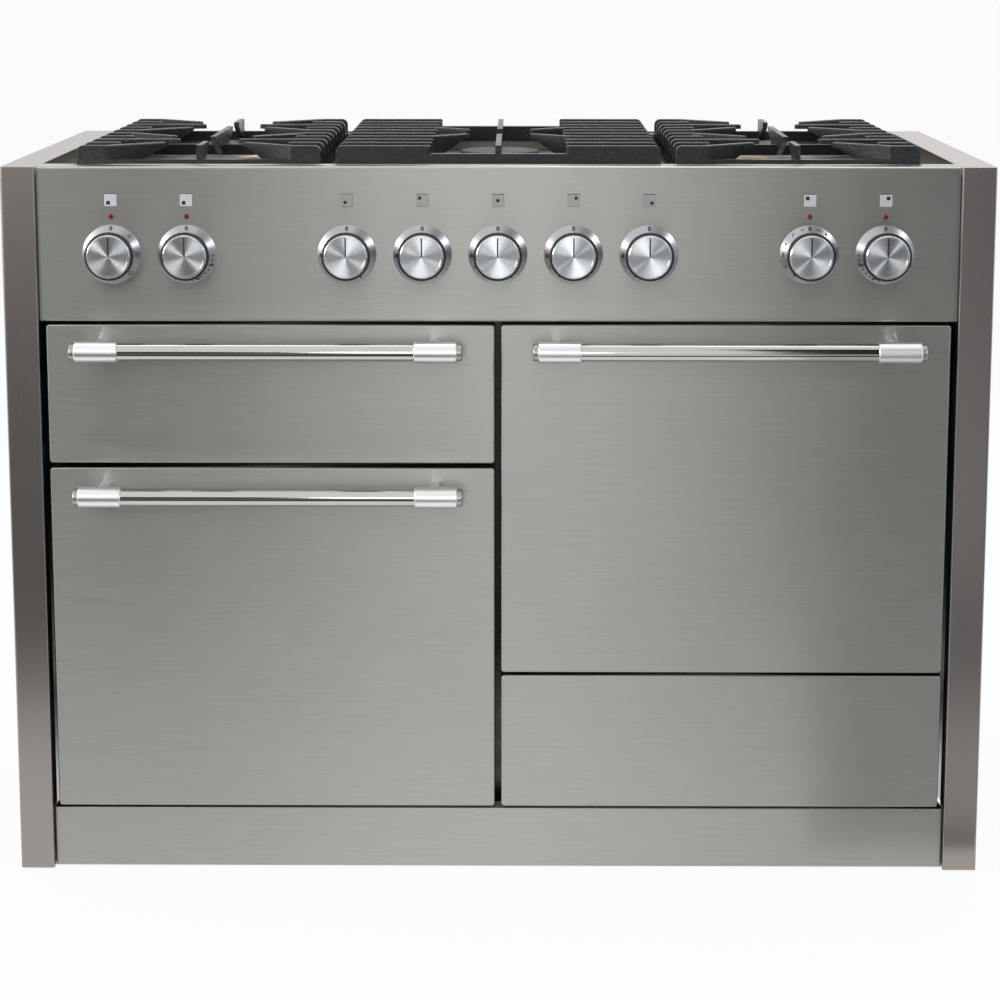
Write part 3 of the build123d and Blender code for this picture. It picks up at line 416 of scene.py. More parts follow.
@dataclass(frozen=True)
class CastIron(Finish):
    """Matt enamelled cast iron with a sandy skin."""

    colour: Colour = (0.003, 0.003, 0.004)
    worn: Colour = (0.017, 0.017, 0.020)
    roughness: Pair = (0.22, 0.42)
    refraction: float = 1.5
    specular: float = 0.40
    sand: float = 400.0
    patch: float = 35.0
    bump: float = 0.75
    bump_depth: float = 0.0009

    def lay(self, sheet: NodeSheet) -> None:
        """Give the iron its sandy skin and worn patches.

        Args:
            sheet: Nodes of the new material.
        """
        skin = sheet.noise(even(self.sand), Detail.SANDY)
        patch = sheet.noise(even(self.patch), Detail.STREAKED)
        sheet.apply(Metallic=0.0, IOR=self.refraction, Specular_IOR_Level=self.specular,
                    Base_Color=sheet.tint(skin, self.colour, self.worn),
                    Roughness=sheet.span(patch, *self.roughness))
        sheet.bump(skin, self.bump, self.bump_depth)


@dataclass(frozen=True)
class Enamel(Finish):
    """Glassy vitreous enamel with small pale flecks."""

    colour: Colour
    fleck: Colour
    roughness: Pair = (0.17, 0.30)
    fleck_scale: float = 420.0
    fleck_size: float = 0.16
    coat: float = 0.4
    specular: float = 0.5
    coat_roughness: float = 0.08
    ripple: float = 60.0
    ripple_shade: float = 0.8
    bump: float = 0.08
    bump_depth: float = 0.0004

    def lay(self, sheet: NodeSheet) -> None:
        """Strew the flecks over a gently rippled ground.

        Args:
            sheet: Nodes of the new material.
        """
        distance = sheet.cells(self.fleck_scale).outputs["Distance"]
        fleck = sheet.combine("LESS_THAN", distance, self.fleck_size)
        ripple = sheet.noise(even(self.ripple), Detail.SOFT)
        ground = sheet.shade(ripple, self.colour, self.ripple_shade)
        sheet.apply(Metallic=0.0, Coat_Weight=self.coat, Coat_Roughness=self.coat_roughness,
                    Specular_IOR_Level=self.specular, Base_Color=sheet.mix(fleck, ground, self.fleck),
                    Roughness=sheet.span(ripple, *self.roughness))
        sheet.bump(ripple, self.bump, self.bump_depth)


@dataclass(frozen=True)
class Galvanised(Finish):
    """Zinc-coated sheet with its crystal spangle."""

    dark: Colour = (0.37, 0.38, 0.39)
    light: Colour = (0.46, 0.47, 0.48)
    roughness: Pair = (0.32, 0.52)
    spangle: float = 150.0

    def lay(self, sheet: NodeSheet) -> None:
        """Give each crystal its own shade and gloss.

        Args:
            sheet: Nodes of the new material.
        """
        crystal = sheet.cells(self.spangle).outputs["Color"]
        grey = sheet.add("ShaderNodeSeparateColor", {0: crystal}).outputs[0]
        sheet.apply(Metallic=1.0, Base_Color=sheet.tint(grey, self.dark, self.light, FULL_RANGE),
                    Roughness=sheet.span(grey, *self.roughness, FULL_RANGE))


@dataclass(frozen=True)
class Moulded(Finish):
    """Moulded plastic, rubber or printed ink with a fine skin."""

    colour: Colour
    roughness: float
    skin: float = 700.0
    depth: float = 0.00008
    spread: float = 0.15
    rough_swing: float = 0.05
    bump: float = 0.3

    def lay(self, sheet: NodeSheet) -> None:
        """Give the surface its fine skin.

        Args:
            sheet: Nodes of the new material.
        """
        skin = sheet.noise(even(self.skin), Detail.SOFT)
        low, high = self.roughness - self.rough_swing, self.roughness + self.rough_swing
        sheet.apply(Metallic=0.0, Roughness=sheet.span(skin, low, high),
                    Base_Color=sheet.shade(skin, self.colour, 1 - self.spread, 1 + self.spread))
        sheet.bump(skin, self.bump, self.depth)


@dataclass(frozen=True)
class LampLens(Finish):
    """Dark red glassy lens of an indicator lamp."""

    colour: Colour = (0.17, 0.004, 0.006)
    roughness: float = 0.18
    coat: float = 0.6
    coat_roughness: float = 0.05
    cloud: float = 500.0
    cloud_shade: float = 0.7

    def lay(self, sheet: NodeSheet) -> None:
        """Cloud the lens a little."""
        cloud = sheet.noise(even(self.cloud), Detail.SOFT)
        sheet.apply(Roughness=self.roughness, Coat_Weight=self.coat, Coat_Roughness=self.coat_roughness,
                    Base_Color=sheet.shade(cloud, self.colour, self.cloud_shade))


class Finishes:
    """Every finish of the cooker, made once and handed out by name."""

    def __init__(self) -> None:
        """Make the shared materials."""
        self.made: Dict[str, bpy.types.Material] = {}
        for finish in (
            BrushedSteel("front_steel", (0.412, 0.406, 0.384), 0.40, Grain.ACROSS, 0.08, anisotropy=0.85),
            BrushedSteel("side_steel", (0.34, 0.312, 0.300), 0.28, Grain.UPRIGHT, 0.02),
            BrushedSteel("hob_steel", (0.26, 0.238, 0.212), 0.36, Grain.ACROSS, 0.03),
            PlainMetal("spindle_steel", (0.55, 0.55, 0.55), 0.30, 80.0),
            PlainMetal("chrome_wire", (0.72, 0.72, 0.73), 0.16, 60.0, 0.04),
            PlainMetal("hinge_steel", (0.50, 0.49, 0.47), 0.35, 90.0),
            PlainMetal("burner_brass", (0.36, 0.30, 0.225), 0.44, 160.0, 0.12),
            PlainMetal("gas_brass", (0.66, 0.48, 0.20), 0.32, 120.0, 0.10),
            PlainMetal("heated_sheath", (0.17, 0.15, 0.14), 0.45, 90.0, 0.25),
            PlainMetal("tile_silver", (0.62, 0.63, 0.67), 0.42, 60.0, 0.03),
            PlainMetal("tile_grey", (0.34, 0.36, 0.34), 0.40, 60.0, 0.05),
            PlainMetal("screw_zinc", (0.58, 0.57, 0.54), 0.34, 200.0, 0.08),
            Galvanised("galvanised_sheet"),
            CastIron("cast_iron"),
            Enamel("oven_enamel", (0.012, 0.013, 0.016), (0.30, 0.31, 0.34)),
            Enamel("burner_enamel", (0.040, 0.042, 0.047), (0.05, 0.05, 0.055), (0.50, 0.63), 500.0, 0.05,
                   coat=0.0, specular=0.3),
            # Black rubber of the door seals, also laid as painted shade in the gaps beside the fascia.
            Moulded("seal_rubber", (0.015, 0.015, 0.016), 0.60),
            Moulded("switch_plastic", (0.05, 0.05, 0.055), 0.45),
            Moulded("foot_plastic", (0.012, 0.012, 0.013), 0.50),
            Moulded("knob_black", (0.008, 0.008, 0.009), 0.38),
            # Black ink of the prints and pointers, also laid as painted shade in the screw recesses and along
            # each icon tile's top edge.
            Moulded("ink_and_painted_shade", (0.006, 0.006, 0.008), 0.45, 900.0, 0.00001),
            Moulded("print_blue", (0.05, 0.09, 0.30), 0.45, 900.0, 0.00001),
            LampLens("lamp_red"),
        ):
            self.add(finish)

    def add(self, finish: Finish) -> None:
        """Make one more material."""
        self.made[finish.name] = finish.build()

    def get(self, name: str) -> bpy.types.Material:
        """The material of that name."""
        return self.made[name]

    def dress(self, name: str, *nodes: str) -> None:
        """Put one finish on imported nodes.

        Args:
            name: The finish's name.
            nodes: Names of the nodes.
        """
        material = self.get(name)
        for node in nodes:
            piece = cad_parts[node]
            if not piece.material_slots:
                piece.data.materials.append(material)
            for slot in piece.material_slots:
                slot.material = material
            LOG.info("dressed %s with %s", node, name)


@dataclass
class Shape:
    """A small mesh that is built up and then hung on a body."""

    finishes: Finishes
    mesh: bmesh.types.BMesh = field(default_factory=bmesh.new)

    def hang(self, name: str, finish: Sequence[str], body: str) -> None:
        """Turn the mesh, which is used up, into a piece that rides on a body.

        Args:
            name: The piece's name.
            finish: Names of its finishes, by material index.
            body: Body that carries it.
        """
        bmesh.ops.recalc_face_normals(self.mesh, faces=self.mesh.faces)
        data = bpy.data.meshes.new(name)
        self.mesh.to_mesh(data)
        self.mesh.free()
        made = bpy.data.objects.new(name, data)
        bpy.context.scene.collection.objects.link(made)
        for one in finish:
            data.materials.append(self.finishes.get(one))
        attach(made, body)
        LOG.info("made %s on %s", name, body)

    def slab(self, at: Matrix, width: float, height: float, depth: float, bevel: float = 0.0,
             index: int = 0) -> None:
        """Add a plate whose back lies on the XY plane of a frame and whose face looks along its Z.

        Args:
            at: Frame of the plate.
            width: Size along the frame's X.
            height: Size along the frame's Y.
            depth: Thickness along the frame's Z.
            bevel: Round of its edges.
            index: Material index of its faces.
        """
        size = Matrix.Translation((0, 0, depth / 2)) @ Matrix.Diagonal((width, height, depth, 1.0))
        corners = bmesh.ops.create_cube(self.mesh, size=1.0, matrix=at @ size)["verts"]
        for face in {face for corner in corners for face in corner.link_faces}:
            face.material_index = index
        if bevel:
            edges = list({edge for corner in corners for edge in corner.link_edges})
            bmesh.ops.bevel(self.mesh, geom=edges, offset=bevel, segments=EDGE_SEGMENTS,
                            profile=EDGE_PROFILE, affect="EDGES", material=index)

    def outline(self, at: Matrix, points: Sequence[Pair], depth: float, index: int = 0) -> None:
        """Add a flat closed shape raised along a frame's Z.

        Args:
            at: Frame of the shape.
            points: Its corners in the frame's XY plane.
            depth: Thickness.
            index: Material index of its faces.
        """
        low = [self.mesh.verts.new(at @ Vector((x, y, 0.0))) for x, y in points]
        high = [self.mesh.verts.new(at @ Vector((x, y, depth))) for x, y in points]
        faces = [self.mesh.faces.new(high), self.mesh.faces.new(low[::-1])]
        for place in range(len(points)):
            after = (place + 1) % len(points)
            faces.append(self.mesh.faces.new((low[place], low[after], high[after], high[place])))
        for face in faces:
            face.material_index = index

    def disc(self, at: Matrix, radius: float, depth: float, index: int = 0, sides: int = 24) -> None:
        """Add a round plate of so many sides, raised along a frame's Z."""
        rim = [(radius * math.cos(turn), radius * math.sin(turn)) for turn in turns(sides)]
        self.outline(at, rim, depth, index)

    def ring(self, at: Matrix, radius: float, line: float, depth: float, sides: int) -> None:
        """Add a round band made of short bars.

        Args:
            at: Frame of the band.
            radius: Radius of its middle line.
            line: Width of the band.
            depth: Thickness.
            sides: Number of bars.
        """
        step = 2 * math.pi / sides
        length = 2 * radius * math.tan(step / 2)
        for place in range(sides):
            bar = at @ Matrix.Rotation(step * place, 4, "Z") @ Matrix.Translation((radius, 0, 0))
            self.slab(bar, line, length, depth)

    def text(self, at: Matrix, words: str, height: float, depth: float) -> None:
        """Add raised figures centred on a frame.

        Args:
            at: Frame of the figures, with X along the line.
            words: The figures.
            height: Height of a figure.
            depth: How far the print stands up.
        """
        curve = bpy.data.curves.new("figures", "FONT")
        curve.body = words
        curve.size = height * FIGURE_SIZE
        curve.align_x = "CENTER"
        curve.align_y = "CENTER"
        curve.extrude = depth / 2
        curve.offset = height * FIGURE_WEIGHT
        carrier = bpy.data.objects.new("figures", curve)
        bpy.context.scene.collection.objects.link(carrier)
        bpy.context.view_layer.update()
        shown = carrier.evaluated_get(bpy.context.evaluated_depsgraph_get())
        drawn = bpy.data.meshes.new_from_object(shown)
        drawn.transform(at @ Matrix.Translation((0, 0, depth / 2)))
        before = len(self.mesh.faces)
        self.mesh.from_mesh(drawn)
        self.mesh.faces.ensure_lookup_table()
        for face in self.mesh.faces[before:]:
            face.material_index = 0
        bpy.data.objects.remove(carrier)
        bpy.data.curves.remove(curve)
        bpy.data.meshes.remove(drawn)


def facing_front(x: float, y: float, z: float) -> Matrix:
    """A frame on a front face: X to the right, Y up, Z out towards the front."""
    return Matrix(((1, 0, 0, x), (0, 0, -1, y), (0, 1, 0, z), (0, 0, 0, 1)))


def facing_back(x: float, y: float, z: float) -> Matrix:
    """A frame on a rear face: Z out towards the rear, Y up."""
    return Matrix(((-1, 0, 0, x), (0, 0, 1, y), (0, 1, 0, z), (0, 0, 0, 1)))


class Dial(Enum):
    """Kinds of printed dial."""

    GAS = "gas"
    FUNCTION = "function"
    HEAT = "heat"
    GRILL = "grill"


@dataclass
class DialPrint:
    """Marks printed round one knob on its sloping bezel."""

    shape: Shape
    name: str
    x: float
    kind: Dial
    front_y: float
    axis_z: float
    outer_radius: float = 0.036
    land_radius: float = 0.027
    land_out: float = 0.0055
    rim_out: float = 0.0012
    print_depth: float = 0.00012
    mark_radius: float = 0.0318
    zero_height: float = 0.0052
    figure_height: float = 0.0042
    heat_height: float = 0.0034
    dot_radius: float = 0.0012
    dot_sides: int = 12
    large_flame: float = 0.0064
    small_flame: float = 0.0036
    flame_side: Tuple[Pair, ...] = ((0.30, 0.35), (0.62, -0.25), (0.50, -0.75))
    wedge_x: float = 0.0011
    wedge_y: float = 0.0010
    line: float = 0.0005
    symbol_half: float = 0.0021
    blade_length: float = 0.0032
    base_bar: float = 0.0030
    base_drop: float = 0.0012
    thaw_bar: Pair = (0.0048, 0.0008)
    lamp_radius: float = 0.0017
    lamp_sides: int = 16
    lamp_spot: float = 0.0007
    lamp_spot_sides: int = 10
    lamp_lift: float = 0.0004

    def spot(self, clock: float) -> Matrix:
        """A frame on the bezel's slope.

        Args:
            clock: Angle clockwise from the top, in degrees.

        Returns:
            The frame, with Y up and Z out of the slope.
        """
        slope = (self.land_out - self.rim_out) / (self.outer_radius - self.land_radius)
        out = self.land_out - (self.mark_radius - self.land_radius) * slope
        turn = math.radians(clock)
        away = Vector((math.sin(turn), 0.0, math.cos(turn)))
        normal = (Vector((0, -1, 0)) + away * slope).normalized()
        up = Vector((0, 0, 1))
        side = (up - normal * up.dot(normal)).normalized()
        right = side.cross(normal).normalized()
        spot = Matrix((right, side, normal)).transposed().to_4x4()
        spot.translation = Vector((self.x, self.front_y - out, self.axis_z)) + away * self.mark_radius
        return spot

    def flame(self, clock: float, height: float) -> None:
        """Print a flame drop.

        Args:
            clock: Angle clockwise from the top, in degrees.
            height: Height of the drop.
        """
        half = height / 2
        right = [(x * half, y * half) for x, y in self.flame_side]
        left = [(-x, y) for x, y in reversed(right)]
        points = [(0.0, half), *right, (0.0, -half), *left]
        self.shape.outline(self.spot(clock), points[::-1], self.print_depth)

    def dot(self, clock: float, size: float = 1.0) -> None:
        """Print a dot at a clock angle."""
        self.shape.disc(self.spot(clock), self.dot_radius * size, self.print_depth, sides=self.dot_sides)

    def figure(self, clock: float, words: str, height: float) -> None:
        """Print figures at a clock angle."""
        self.shape.text(self.spot(clock), words, height, self.print_depth)

    def bar(self, at: Matrix, width: float, height: float, index: int = 0) -> None:
        """Print a bar on a frame, in the ink of that index."""
        self.shape.slab(at, width, height, self.print_depth, index=index)

    def gas_marks(self) -> None:
        """Large flame on the left, then smaller marks down to a small flame."""
        self.flame(269.0, self.large_flame)
        for clock, size in ((242.0, 0.9), (213.0, 0.8), (180.0, 0.7)):
            self.dot(clock, size)
        self.flame(148.0, self.small_flame)

    def heat_marks(self) -> None:
        """Dots and round hundreds of degrees, clockwise from the right."""
        first, step, count = 92.0, 11.1, 17
        figures = {2: "100", 6: "150", 10: "200", 14: "250"}
        for place in range(count):
            clock = first + step * place
            if place in figures:
                self.figure(clock, figures[place], self.heat_height)
            else:
                self.dot(clock)

    def grill_marks(self) -> None:
        """Figures one to three on the left and four on the right, with small wedges beside the zero."""
        for clock, words in ((-40.0, "1"), (-90.0, "2"), (-145.0, "3"), (38.0, "4")):
            self.figure(clock, words, self.figure_height)
        for clock in (-65.0, -117.0, 65.0, 90.0):
            self.dot(clock)
        wedge = [(-self.wedge_x, self.wedge_y), (0.0, -self.wedge_y), (self.wedge_x, self.wedge_y)]
        for clock in (-19.0, -15.0, 15.0, 19.0, 23.0, 27.0):
            self.shape.outline(self.spot(clock), wedge, self.print_depth)

    def oven_frame(self, at: Matrix, index: int) -> None:
        """Print the square outline of an oven.

        Args:
            at: Frame at the middle of the square.
            index: Index of the ink.
        """
        half, side = self.symbol_half, 2 * self.symbol_half
        for x, y, width, height in ((0, half, side, self.line), (0, -half, side, self.line),
                                    (half, 0, self.line, side), (-half, 0, self.line, side)):
            self.bar(at @ Matrix.Translation((x, y, 0)), width, height, index)

    def function_marks(self) -> None:
        """Lamp, fan, base heat, element and thaw symbols of a fan oven."""
        lamp = self.spot(45.0)
        self.shape.ring(lamp, self.lamp_radius, self.line, self.print_depth, self.lamp_sides)
        filament = lamp @ Matrix.Translation((0, self.lamp_lift, 0))
        self.shape.disc(filament, self.lamp_spot, self.print_depth, sides=self.lamp_spot_sides)
        for clock, fan, index in ((90.0, True, 0), (135.0, False, 0), (270.0, True, 1)):
            at = self.spot(clock)
            self.oven_frame(at, index)
            if fan:
                for turn in (45.0, 135.0):
                    blade = at @ Matrix.Rotation(math.radians(turn), 4, "Z")
                    self.bar(blade, self.blade_length, self.line, index)
            else:
                self.bar(at @ Matrix.Translation((0, -self.base_drop, 0)), self.base_bar, self.line, index)
        self.bar(self.spot(180.0), *self.thaw_bar)

    def build(self) -> None:
        """Print the dial and hang it as one piece."""
        self.figure(0.0, "0", self.zero_height)
        marks = {Dial.GAS: self.gas_marks, Dial.HEAT: self.heat_marks, Dial.GRILL: self.grill_marks,
                 Dial.FUNCTION: self.function_marks}
        marks[self.kind]()
        self.shape.hang(f"dial_print_{self.name}", ("ink_and_painted_shade", "print_blue"), CABINET)


@dataclass
class Pointer:
    """Black line let into a knob's face, from its axis to its edge."""

    shape: Shape
    knob: str
    width: float = 0.0017
    length: float = 0.0233
    seat: float = 0.0012
    thickness: float = 0.0009

    def build(self) -> None:
        """Make the line in its slot."""
        low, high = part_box(self.knob)
        x, z = (low.x + high.x) / 2, (low.z + high.z) / 2
        at = facing_front(x, low.y + self.seat, z + self.length / 2)
        self.shape.slab(at, self.width, self.length, self.thickness)
        self.shape.hang(f"{self.knob}_pointer", ("ink_and_painted_shade",), self.knob)


@dataclass
class KnobSkirt:
    """Black grip ring round a knob, just behind its metal face."""

    shape: Shape
    knob: str
    profile: Tuple[Pair, ...] = ((0.0255, 0.0030), (0.0284, 0.0034), (0.0296, 0.0046),
                                 (0.0294, 0.0095), (0.0282, 0.0115), (0.0255, 0.0120))
    sides: int = 60
    ribs: int = 30
    rib_depth: float = 0.00025

    def build(self) -> None:
        """Turn the ring, with fine ribs round its rim."""
        low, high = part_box(self.knob)
        x, z = (low.x + high.x) / 2, (low.z + high.z) / 2
        mesh = self.shape.mesh
        rows: List[List[bmesh.types.BMVert]] = []
        for step, turn in enumerate(turns(self.sides)):
            dip = self.rib_depth * (step % (self.sides // self.ribs))
            places = [(x + (radius - dip) * math.sin(turn), low.y + back, z + (radius - dip) * math.cos(turn))
                      for radius, back in self.profile]
            rows.append([mesh.verts.new(place) for place in places])
        count = len(self.profile)
        for step in range(self.sides):
            first, second = rows[step], rows[(step + 1) % self.sides]
            for place in range(count):
                after = (place + 1) % count
                mesh.faces.new((first[place], second[place], second[after], first[after]))
        self.shape.hang(f"{self.knob}_skirt", ("knob_black",), self.knob)


@dataclass
class IconTile:
    """Small square plate over a knob, with a spot that shows what the knob works."""

    shape: Shape
    name: str
    x: float
    y: float
    z: float
    spot_at: Pair
    electric: bool
    size: float = 0.0150
    thickness: float = 0.0007
    edge: float = 0.0005
    square_spot: float = 0.0046
    round_spot: float = 0.0022
    spot_depth: float = 0.00015
    painted_shadow_line: float = 0.0006

    def build(self) -> None:
        """Make the tile, its spot and a black strip along its top edge as painted shadow."""
        at = facing_front(self.x, self.y, self.z)
        self.shape.slab(at, self.size, self.size, self.thickness, self.edge)
        # Painted shadow: a black strip above the tile stands for the shadow at its top edge.
        shade = at @ Matrix.Translation((0.0, self.size / 2 + self.painted_shadow_line / 2, 0.0))
        self.shape.slab(shade, self.size, self.painted_shadow_line, self.thickness, index=1)
        spot = at @ Matrix.Translation((*self.spot_at, self.thickness))
        if self.electric:
            self.shape.slab(spot, self.square_spot, self.square_spot, self.spot_depth, index=1)
        else:
            self.shape.disc(spot, self.round_spot, self.spot_depth, index=1)
        plate = "tile_silver" if self.electric else "tile_grey"
        self.shape.hang(f"icon_tile_{self.name}", (plate, "ink_and_painted_shade"), CABINET)


@dataclass
class ControlPanel:
    """Fascia with its dials, tiles and lamps."""

    finishes: Finishes
    gas_pitch: float = 0.092
    inner_x: float = 0.379
    outer_x: float = 0.471
    axis_drop: float = 0.107
    tile_drop: float = 0.041
    tile_spot: float = 0.0030
    bezel_colour: Colour = (0.50, 0.515, 0.54)
    bezel_roughness: Pair = (0.36, 0.40)
    bezel_anisotropy: float = 0.8

    def dress(self) -> None:
        """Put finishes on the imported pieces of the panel."""
        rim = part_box("control_panel")[1].z
        bezel = DialMetal(
            "bezel_metal", self.bezel_colour, self.bezel_roughness, self.bezel_anisotropy, self.gas_pitch,
            outer_shift=self.inner_x - self.gas_pitch * round(self.inner_x / self.gas_pitch),
            outer_from=(self.inner_x + 2 * self.gas_pitch) / 2, axis_z=rim - self.axis_drop)
        self.finishes.add(bezel)
        self.finishes.dress("front_steel", "control_panel")
        self.finishes.dress(bezel.name, "knob_bezels")
        self.finishes.dress("lamp_red", "indicator_lamps")
        self.finishes.dress("switch_plastic", "control_switches")
        self.finishes.dress("gas_brass", "gas_rail")
        knob_metal = KnobMetal("knob_aluminium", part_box(GAS_KNOBS[0])[0].y)
        self.finishes.add(knob_metal)
        self.finishes.dress(knob_metal.name, *KNOBS)
        self.finishes.dress("spindle_steel", *(f"gas_spindle_{place}" for place in range(1, 6)))

    def build(self) -> None:
        """Make the prints, tiles, pointers and skirts."""
        low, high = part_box("control_panel")
        front_y, rim = low.y, high.z
        axis_z, tile_z = rim - self.axis_drop, rim - self.tile_drop
        s = self.tile_spot
        gas = [(-2, (-0.6 * s, -0.8 * s)), (-1, (-s, s)), (0, (0.0, 0.0)), (1, (s, s)), (2, (s, -s))]
        dials = [(f"gas_{place + 3}", place * self.gas_pitch, Dial.GAS, spot) for place, spot in gas]
        dials += [("left_function", -self.outer_x, Dial.FUNCTION, (-s, -s)),
                  ("left_heat", -self.inner_x, Dial.HEAT, (-s, -s)),
                  ("grill", self.inner_x, Dial.GRILL, (-s, s)),
                  ("right_heat", self.outer_x, Dial.HEAT, (s, s))]
        for name, x, kind, spot in dials:
            DialPrint(Shape(self.finishes), name, x, kind, front_y, axis_z).build()
            IconTile(Shape(self.finishes), name, x, front_y, tile_z, spot, kind is not Dial.GAS).build()
        for knob in KNOBS:
            Pointer(Shape(self.finishes), knob).build()
            KnobSkirt(Shape(self.finishes), knob).build()


@dataclass
class Casing:
    """Side panels, plinth, base, back and feet."""

    finishes: Finishes
    screw_radius: float = 0.0045
    screw_height: float = 0.0022
    screw_profile: Tuple[Pair, ...] = ((1.0, 0.0), (1.0, 0.45), (0.85, 0.8), (0.55, 1.0))
    screw_sides: int = 16
    # Width share and thickness of the black cross laid on a screw head as painted shade of its recess
    recess_share: float = 0.22
    painted_recess_depth: float = 0.00005
    screw_inset: float = 0.014
    screws_across: int = 7
    side_screws: Pair = (0.33, 0.67)
    joint_width: float = 0.0010
    joint_depth: float = 0.0003
    joint_top: float = 0.009

    def dress(self) -> None:
        """Put finishes on the casing."""
        self.finishes.dress("side_steel", "side_panel_left", "side_panel_right")
        self.finishes.dress("foot_plastic", *(f"foot_{end}_{side}" for end in ("front", "rear")
                                              for side in ("left", "right")))
        self.finishes.dress("front_steel", "plinth_panel")
        self.finishes.dress("galvanised_sheet", "base_frame", "back_panel")
        self.finishes.dress("oven_enamel", "front_frame")

    def screw(self, shape: Shape, at: Matrix) -> None:
        """Add a pan-head screw, whose crossed recess is a thin black cross laid on its head as painted shade.

        Args:
            shape: Shape to add to.
            at: Frame on the face that it is driven into.
        """
        mesh = shape.mesh
        rings: List[List[bmesh.types.BMVert]] = []
        for radius_share, height_share in self.screw_profile:
            radius, height = self.screw_radius * radius_share, self.screw_height * height_share
            places = [Vector((radius * math.cos(turn), radius * math.sin(turn), height))
                      for turn in turns(self.screw_sides)]
            rings.append([mesh.verts.new(at @ place) for place in places])
        for lower, upper in zip(rings, rings[1:]):
            for side in range(self.screw_sides):
                after = (side + 1) % self.screw_sides
                mesh.faces.new((lower[side], lower[after], upper[after], upper[side]))
        mesh.faces.new(rings[-1])
        mesh.faces.new(rings[0][::-1])
        # Painted shade: the recess is not cut; a thin black cross on the head stands for the shade in it.
        top = at @ Matrix.Translation((0, 0, self.screw_height))
        for turn in (0.0, math.pi / 2):
            arm = top @ Matrix.Rotation(turn, 4, "Z")
            shape.slab(arm, self.screw_radius, self.screw_radius * self.recess_share, self.painted_recess_depth,
                       index=1)

    def joints(self) -> None:
        """Lay a thin black strip in the narrow gap between each side panel and the fascia, as painted shade
        standing for the shadow in the gap.
        """
        low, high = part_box("control_panel")
        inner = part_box("side_panel_right")[0].x
        shape = Shape(self.finishes)
        # Painted shade: a black strip in each side gap stands for the shadow in the gap.
        for side in (-1, 1):
            x = side * (min(high.x, inner) - self.joint_width / 2)
            at = facing_front(x, low.y, (low.z + high.z - self.joint_top) / 2)
            shape.slab(at, self.joint_width, high.z - low.z - self.joint_top, self.joint_depth)
        shape.hang("panel_joint_shade", ("seal_rubber",), CABINET)

    def build(self) -> None:
        """Lay the painted gap shade and drive the screws that hold the back panel."""
        self.joints()
        low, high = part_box("back_panel")
        shape = Shape(self.finishes)
        left, right = low.x + self.screw_inset, high.x - self.screw_inset
        bottom, top = low.z + self.screw_inset, high.z - self.screw_inset
        for place in range(self.screws_across):
            x = left + (right - left) * place / (self.screws_across - 1)
            for z in (bottom, top):
                self.screw(shape, facing_back(x, high.y, z))
        for share in self.side_screws:
            for x in (left, right):
                self.screw(shape, facing_back(x, high.y, bottom + (top - bottom) * share))
        shape.hang("back_screws", ("screw_zinc", "ink_and_painted_shade"), CABINET)


@dataclass
class Doors:
    """The three drop-down doors and the drawer."""

    finishes: Finishes
    bracket_length: float = 0.052
    cap_length: float = 0.0065

    def dress(self) -> None:
        """Put finishes on the doors, their handles, the hinges and the drawer."""
        for name in ("grill", "left_oven", "right_oven"):
            self.finishes.dress("front_steel", f"{name}_door_front")
            self.finishes.dress("oven_enamel", f"{name}_door_liner")
            node = f"{name}_door_handle"
            low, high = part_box(node)
            cap_from = (high.x - low.x) / 2 - self.cap_length
            metal = HandleMetal(f"{name}_handle_metal", (high.x + low.x) / 2,
                                bracket_from=cap_from - self.bracket_length, cap_from=cap_from)
            self.finishes.add(metal)
            self.finishes.dress(metal.name, node)
        self.finishes.dress("hinge_steel", "door_hinges")
        self.finishes.dress("seal_rubber", "door_seals")
        self.finishes.dress("front_steel", "drawer_front")
        self.finishes.dress("galvanised_sheet", "drawer_box")
        self.finishes.dress("spindle_steel", "drawer_runners")


@dataclass
class Hob:
    """Hob tray, burners, pan supports and flue strip."""

    finishes: Finishes

    def dress(self) -> None:
        """Put finishes on the hob."""
        self.finishes.dress("hob_steel", "hob_tray", "flue_vent")
        self.finishes.dress("burner_brass", "burner_bodies")
        self.finishes.dress("burner_enamel", "burner_caps")
        self.finishes.dress("cast_iron", *(f"pan_support_{place}" for place in ("left", "centre", "right")))


@dataclass
class Ovens:
    """Cavities and what hangs in them."""

    finishes: Finishes

    def dress(self) -> None:
        """Put finishes on the cavities and their fittings."""
        self.finishes.dress("oven_enamel", "grill_cavity", "left_oven_cavity", "right_oven_cavity",
                            "grill_pan", "fan_covers")
        self.finishes.dress("chrome_wire", "oven_shelves")
        self.finishes.dress("heated_sheath", "heating_elements")
        self.finishes.dress("galvanised_sheet", "fan_motors")
        self.finishes.dress("spindle_steel", "left_oven_fan", "right_oven_fan")


@dataclass(frozen=True)
class AreaLamp:
    """One soft box."""

    name: str
    place: Place
    aim: Place
    width: float
    height: float
    power: float
    colour: Colour = (1.0, 1.0, 1.0)

    def build(self) -> None:
        """Hang the lamp."""
        data = bpy.data.lights.new(self.name, "AREA")
        data.shape = "RECTANGLE"
        data.size = self.width
        data.size_y = self.height
        data.energy = self.power
        data.color = self.colour
        lamp = bpy.data.objects.new(self.name, data)
        bpy.context.scene.collection.objects.link(lamp)
        lamp.location = self.place
        lamp.rotation_mode = "QUATERNION"
        lamp.rotation_quaternion = (Vector(self.aim) - Vector(self.place)).to_track_quat("-Z", "Y")


